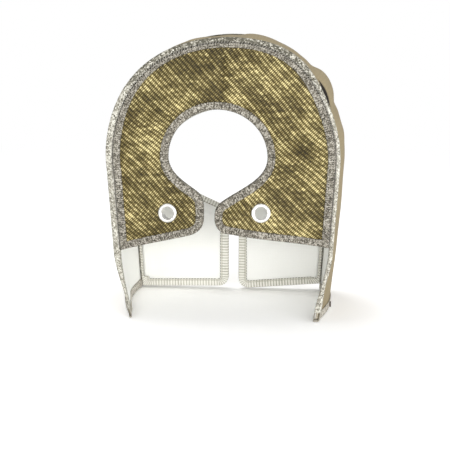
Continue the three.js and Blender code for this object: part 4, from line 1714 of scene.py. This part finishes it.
@dataclass
class Studio:
    """Pale floor, soft light and the camera."""

    key: float = 8.0
    front: float = 41.0
    right: float = 13.0
    sky: float = 0.55
    floor_white: float = 1.3

    def build(self) -> None:
        """Build the floor, the lights, the world and the camera."""
        self.floor()
        self.lamp("key_light", (-0.35, 0.25, 1.5), 0.8, 0.8, self.key)
        self.lamp("front_light", (0.3, -1.9, 0.3), 3.2, 1.0, self.front)
        self.lamp("right_light", (1.7, -1.1, 0.35), 1.0, 0.9, self.right)
        self.world()
        self.camera()
        bpy.context.scene.view_settings.view_transform = "Standard"

    def floor(self) -> None:
        """White floor that keeps the shadow."""
        bpy.ops.object.select_all(action="DESELECT")
        bpy.ops.mesh.primitive_grid_add(x_subdivisions=4, y_subdivisions=4, size=30.0,
                                        location=(0.0, 0.0, -0.0002))
        floor = bpy.context.object
        floor.name = "studio_floor"
        desk = Desk("floor_white")
        path = desk.node("LightPath")
        through = desk.sum("MAXIMUM", path.outputs["Is Glossy Ray"], path.outputs["Is Transmission Ray"])
        seen = desk.sum("MAXIMUM", path.outputs["Is Camera Ray"], through)
        white = self.floor_white
        colour = desk.blend("MIX", seen, (0.82, 0.82, 0.82, 1.0), (white, white, white, 1.0))
        shade = desk.node("BsdfDiffuse", {"Color": colour})
        glow = desk.node("Emission", {"Color": (1.0, 1.0, 1.0, 1.0), "Strength": 1.0})
        away = desk.node("VectorMath", {0: desk.place()}, operation="LENGTH").outputs["Value"]
        far = desk.node("MapRange", {0: away, 1: 0.3, 2: 1.1}, interpolation_type="SMOOTHSTEP").outputs[0]
        part = desk.sum("MULTIPLY", far, seen)
        mix = desk.node("MixShader", {0: part, 1: shade.outputs[0], 2: glow.outputs[0]})
        desk.tree.links.new(mix.outputs[0], desk.tree.nodes["Material Output"].inputs[0])
        floor.data.materials.append(desk.material)

    def lamp(self, name: str, place: tuple[float, float, float], wide: float, high: float,
             power: float) -> None:
        """Add a soft light aimed at the blanket.

        Args:
            name: Name of the light.
            place: Where it hangs.
            wide: Its width.
            high: Its height.
            power: Its power.
        """
        light = bpy.data.lights.new(name, "AREA")
        light.shape = "RECTANGLE"
        light.size = wide
        light.size_y = high
        light.energy = power
        lamp = bpy.data.objects.new(name, light)
        lamp.location = place
        aim = Vector((0.0, 0.0, 0.1)) - Vector(place)
        lamp.rotation_euler = aim.to_track_quat("-Z", "Y").to_euler()
        bpy.context.scene.collection.objects.link(lamp)

    def world(self) -> None:
        """White world with a plain level of light."""
        world = bpy.data.worlds.new("studio")
        world.use_nodes = True
        bpy.context.scene.world = world
        tree = world.node_tree
        back = tree.nodes["Background"]
        path = tree.nodes.new("ShaderNodeLightPath")
        seen = tree.nodes.new("ShaderNodeMix")
        tree.links.new(path.outputs["Is Camera Ray"], seen.inputs[0])
        seen.inputs[2].default_value = self.sky
        seen.inputs[3].default_value = 1.0
        tree.links.new(seen.outputs[0], back.inputs["Strength"])
        back.inputs["Color"].default_value = (1.0, 1.0, 1.0, 1.0)

    def camera(self) -> None:
        """Camera at the photograph's place."""
        data = bpy.data.cameras.new("photo_camera")
        data.sensor_width = SENSOR
        data.sensor_fit = "HORIZONTAL"
        data.lens = FOCAL_PIXELS / PHOTO_PIXELS * SENSOR
        data.clip_end = 100.0
        camera = bpy.data.objects.new("photo_camera", data)
        camera.location = (0.050076, -0.726759, 0.247623)
        camera.rotation_euler = (math.radians(90.0 - 13.4), 0.0, math.radians(4.07))
        bpy.context.scene.collection.objects.link(camera)
        bpy.context.scene.camera = camera


def main() -> None:
    """Build the blanket and its studio."""
    logging.basicConfig(level=logging.INFO, format="%(name)s %(message)s")
    twill = TwillFinish().material()
    knit = KnitFinish().material()
    pale = PaleTapeFinish().material()
    rim = PaleTapeFinish("rim_tape", groove=(0.1, 0.094, 0.07), shade=(0.36, 0.34, 0.28),
                         face=(0.8, 0.785, 0.7), speckle=0.84).material()
    mottled = KnitFinish("hem_tape", dark=(0.2, 0.18, 0.14), middle=(0.46, 0.43, 0.36),
                         light=(0.78, 0.75, 0.68)).material()
    felt = FeltFinish().material()
    white = PlainClothFinish("white_liner", face=(0.97, 0.97, 0.93), groove=(0.93, 0.93, 0.88),
                             threads=2600.0).material()
    tan = PlainClothFinish("tan_cloth", face=(0.325, 0.267, 0.162), groove=(0.224, 0.181, 0.104),
                           threads=2400.0).material()
    metal = MetalFinish().material()
    grey = ThreadFinish("grey_thread", (0.5, 0.48, 0.43), (0.18, 0.165, 0.14)).material()
    # Near-black finish of the painted shadow bar at the right tail's corner.
    dark = ThreadFinish("corner_shadow_dark", (0.07, 0.05, 0.035), (0.02, 0.014, 0.01)).material()
    olive = ThreadFinish("olive_thread", (0.26, 0.24, 0.17), (0.1, 0.09, 0.06)).material()
    Panel(FRONT, "front", TapeWeave.KNIT, knit, "knit_tape", twill, felt, white).build()
    Panel(REAR, "rear", TapeWeave.LADDER, pale, "pale_tape", twill, felt, white).build()
    Band(tan, felt, white, rim, mottled).build()
    EyeletSet(metal).build()
    Stitching("rim_whip_stitches", grey, "knit_tape").row(whip_stitches(), 0.25)
    rear = REAR.tape_width + 0.15
    Stitching("rear_inner_stitches", olive, "pale_tape", radius=0.3).row(
        run_stitches(REAR, rear, 7.35, 2.7, 0.72), 0.2)
    CornerShadowBar(dark).build()
    Studio().build()


if __name__ == "__main__":
    main()
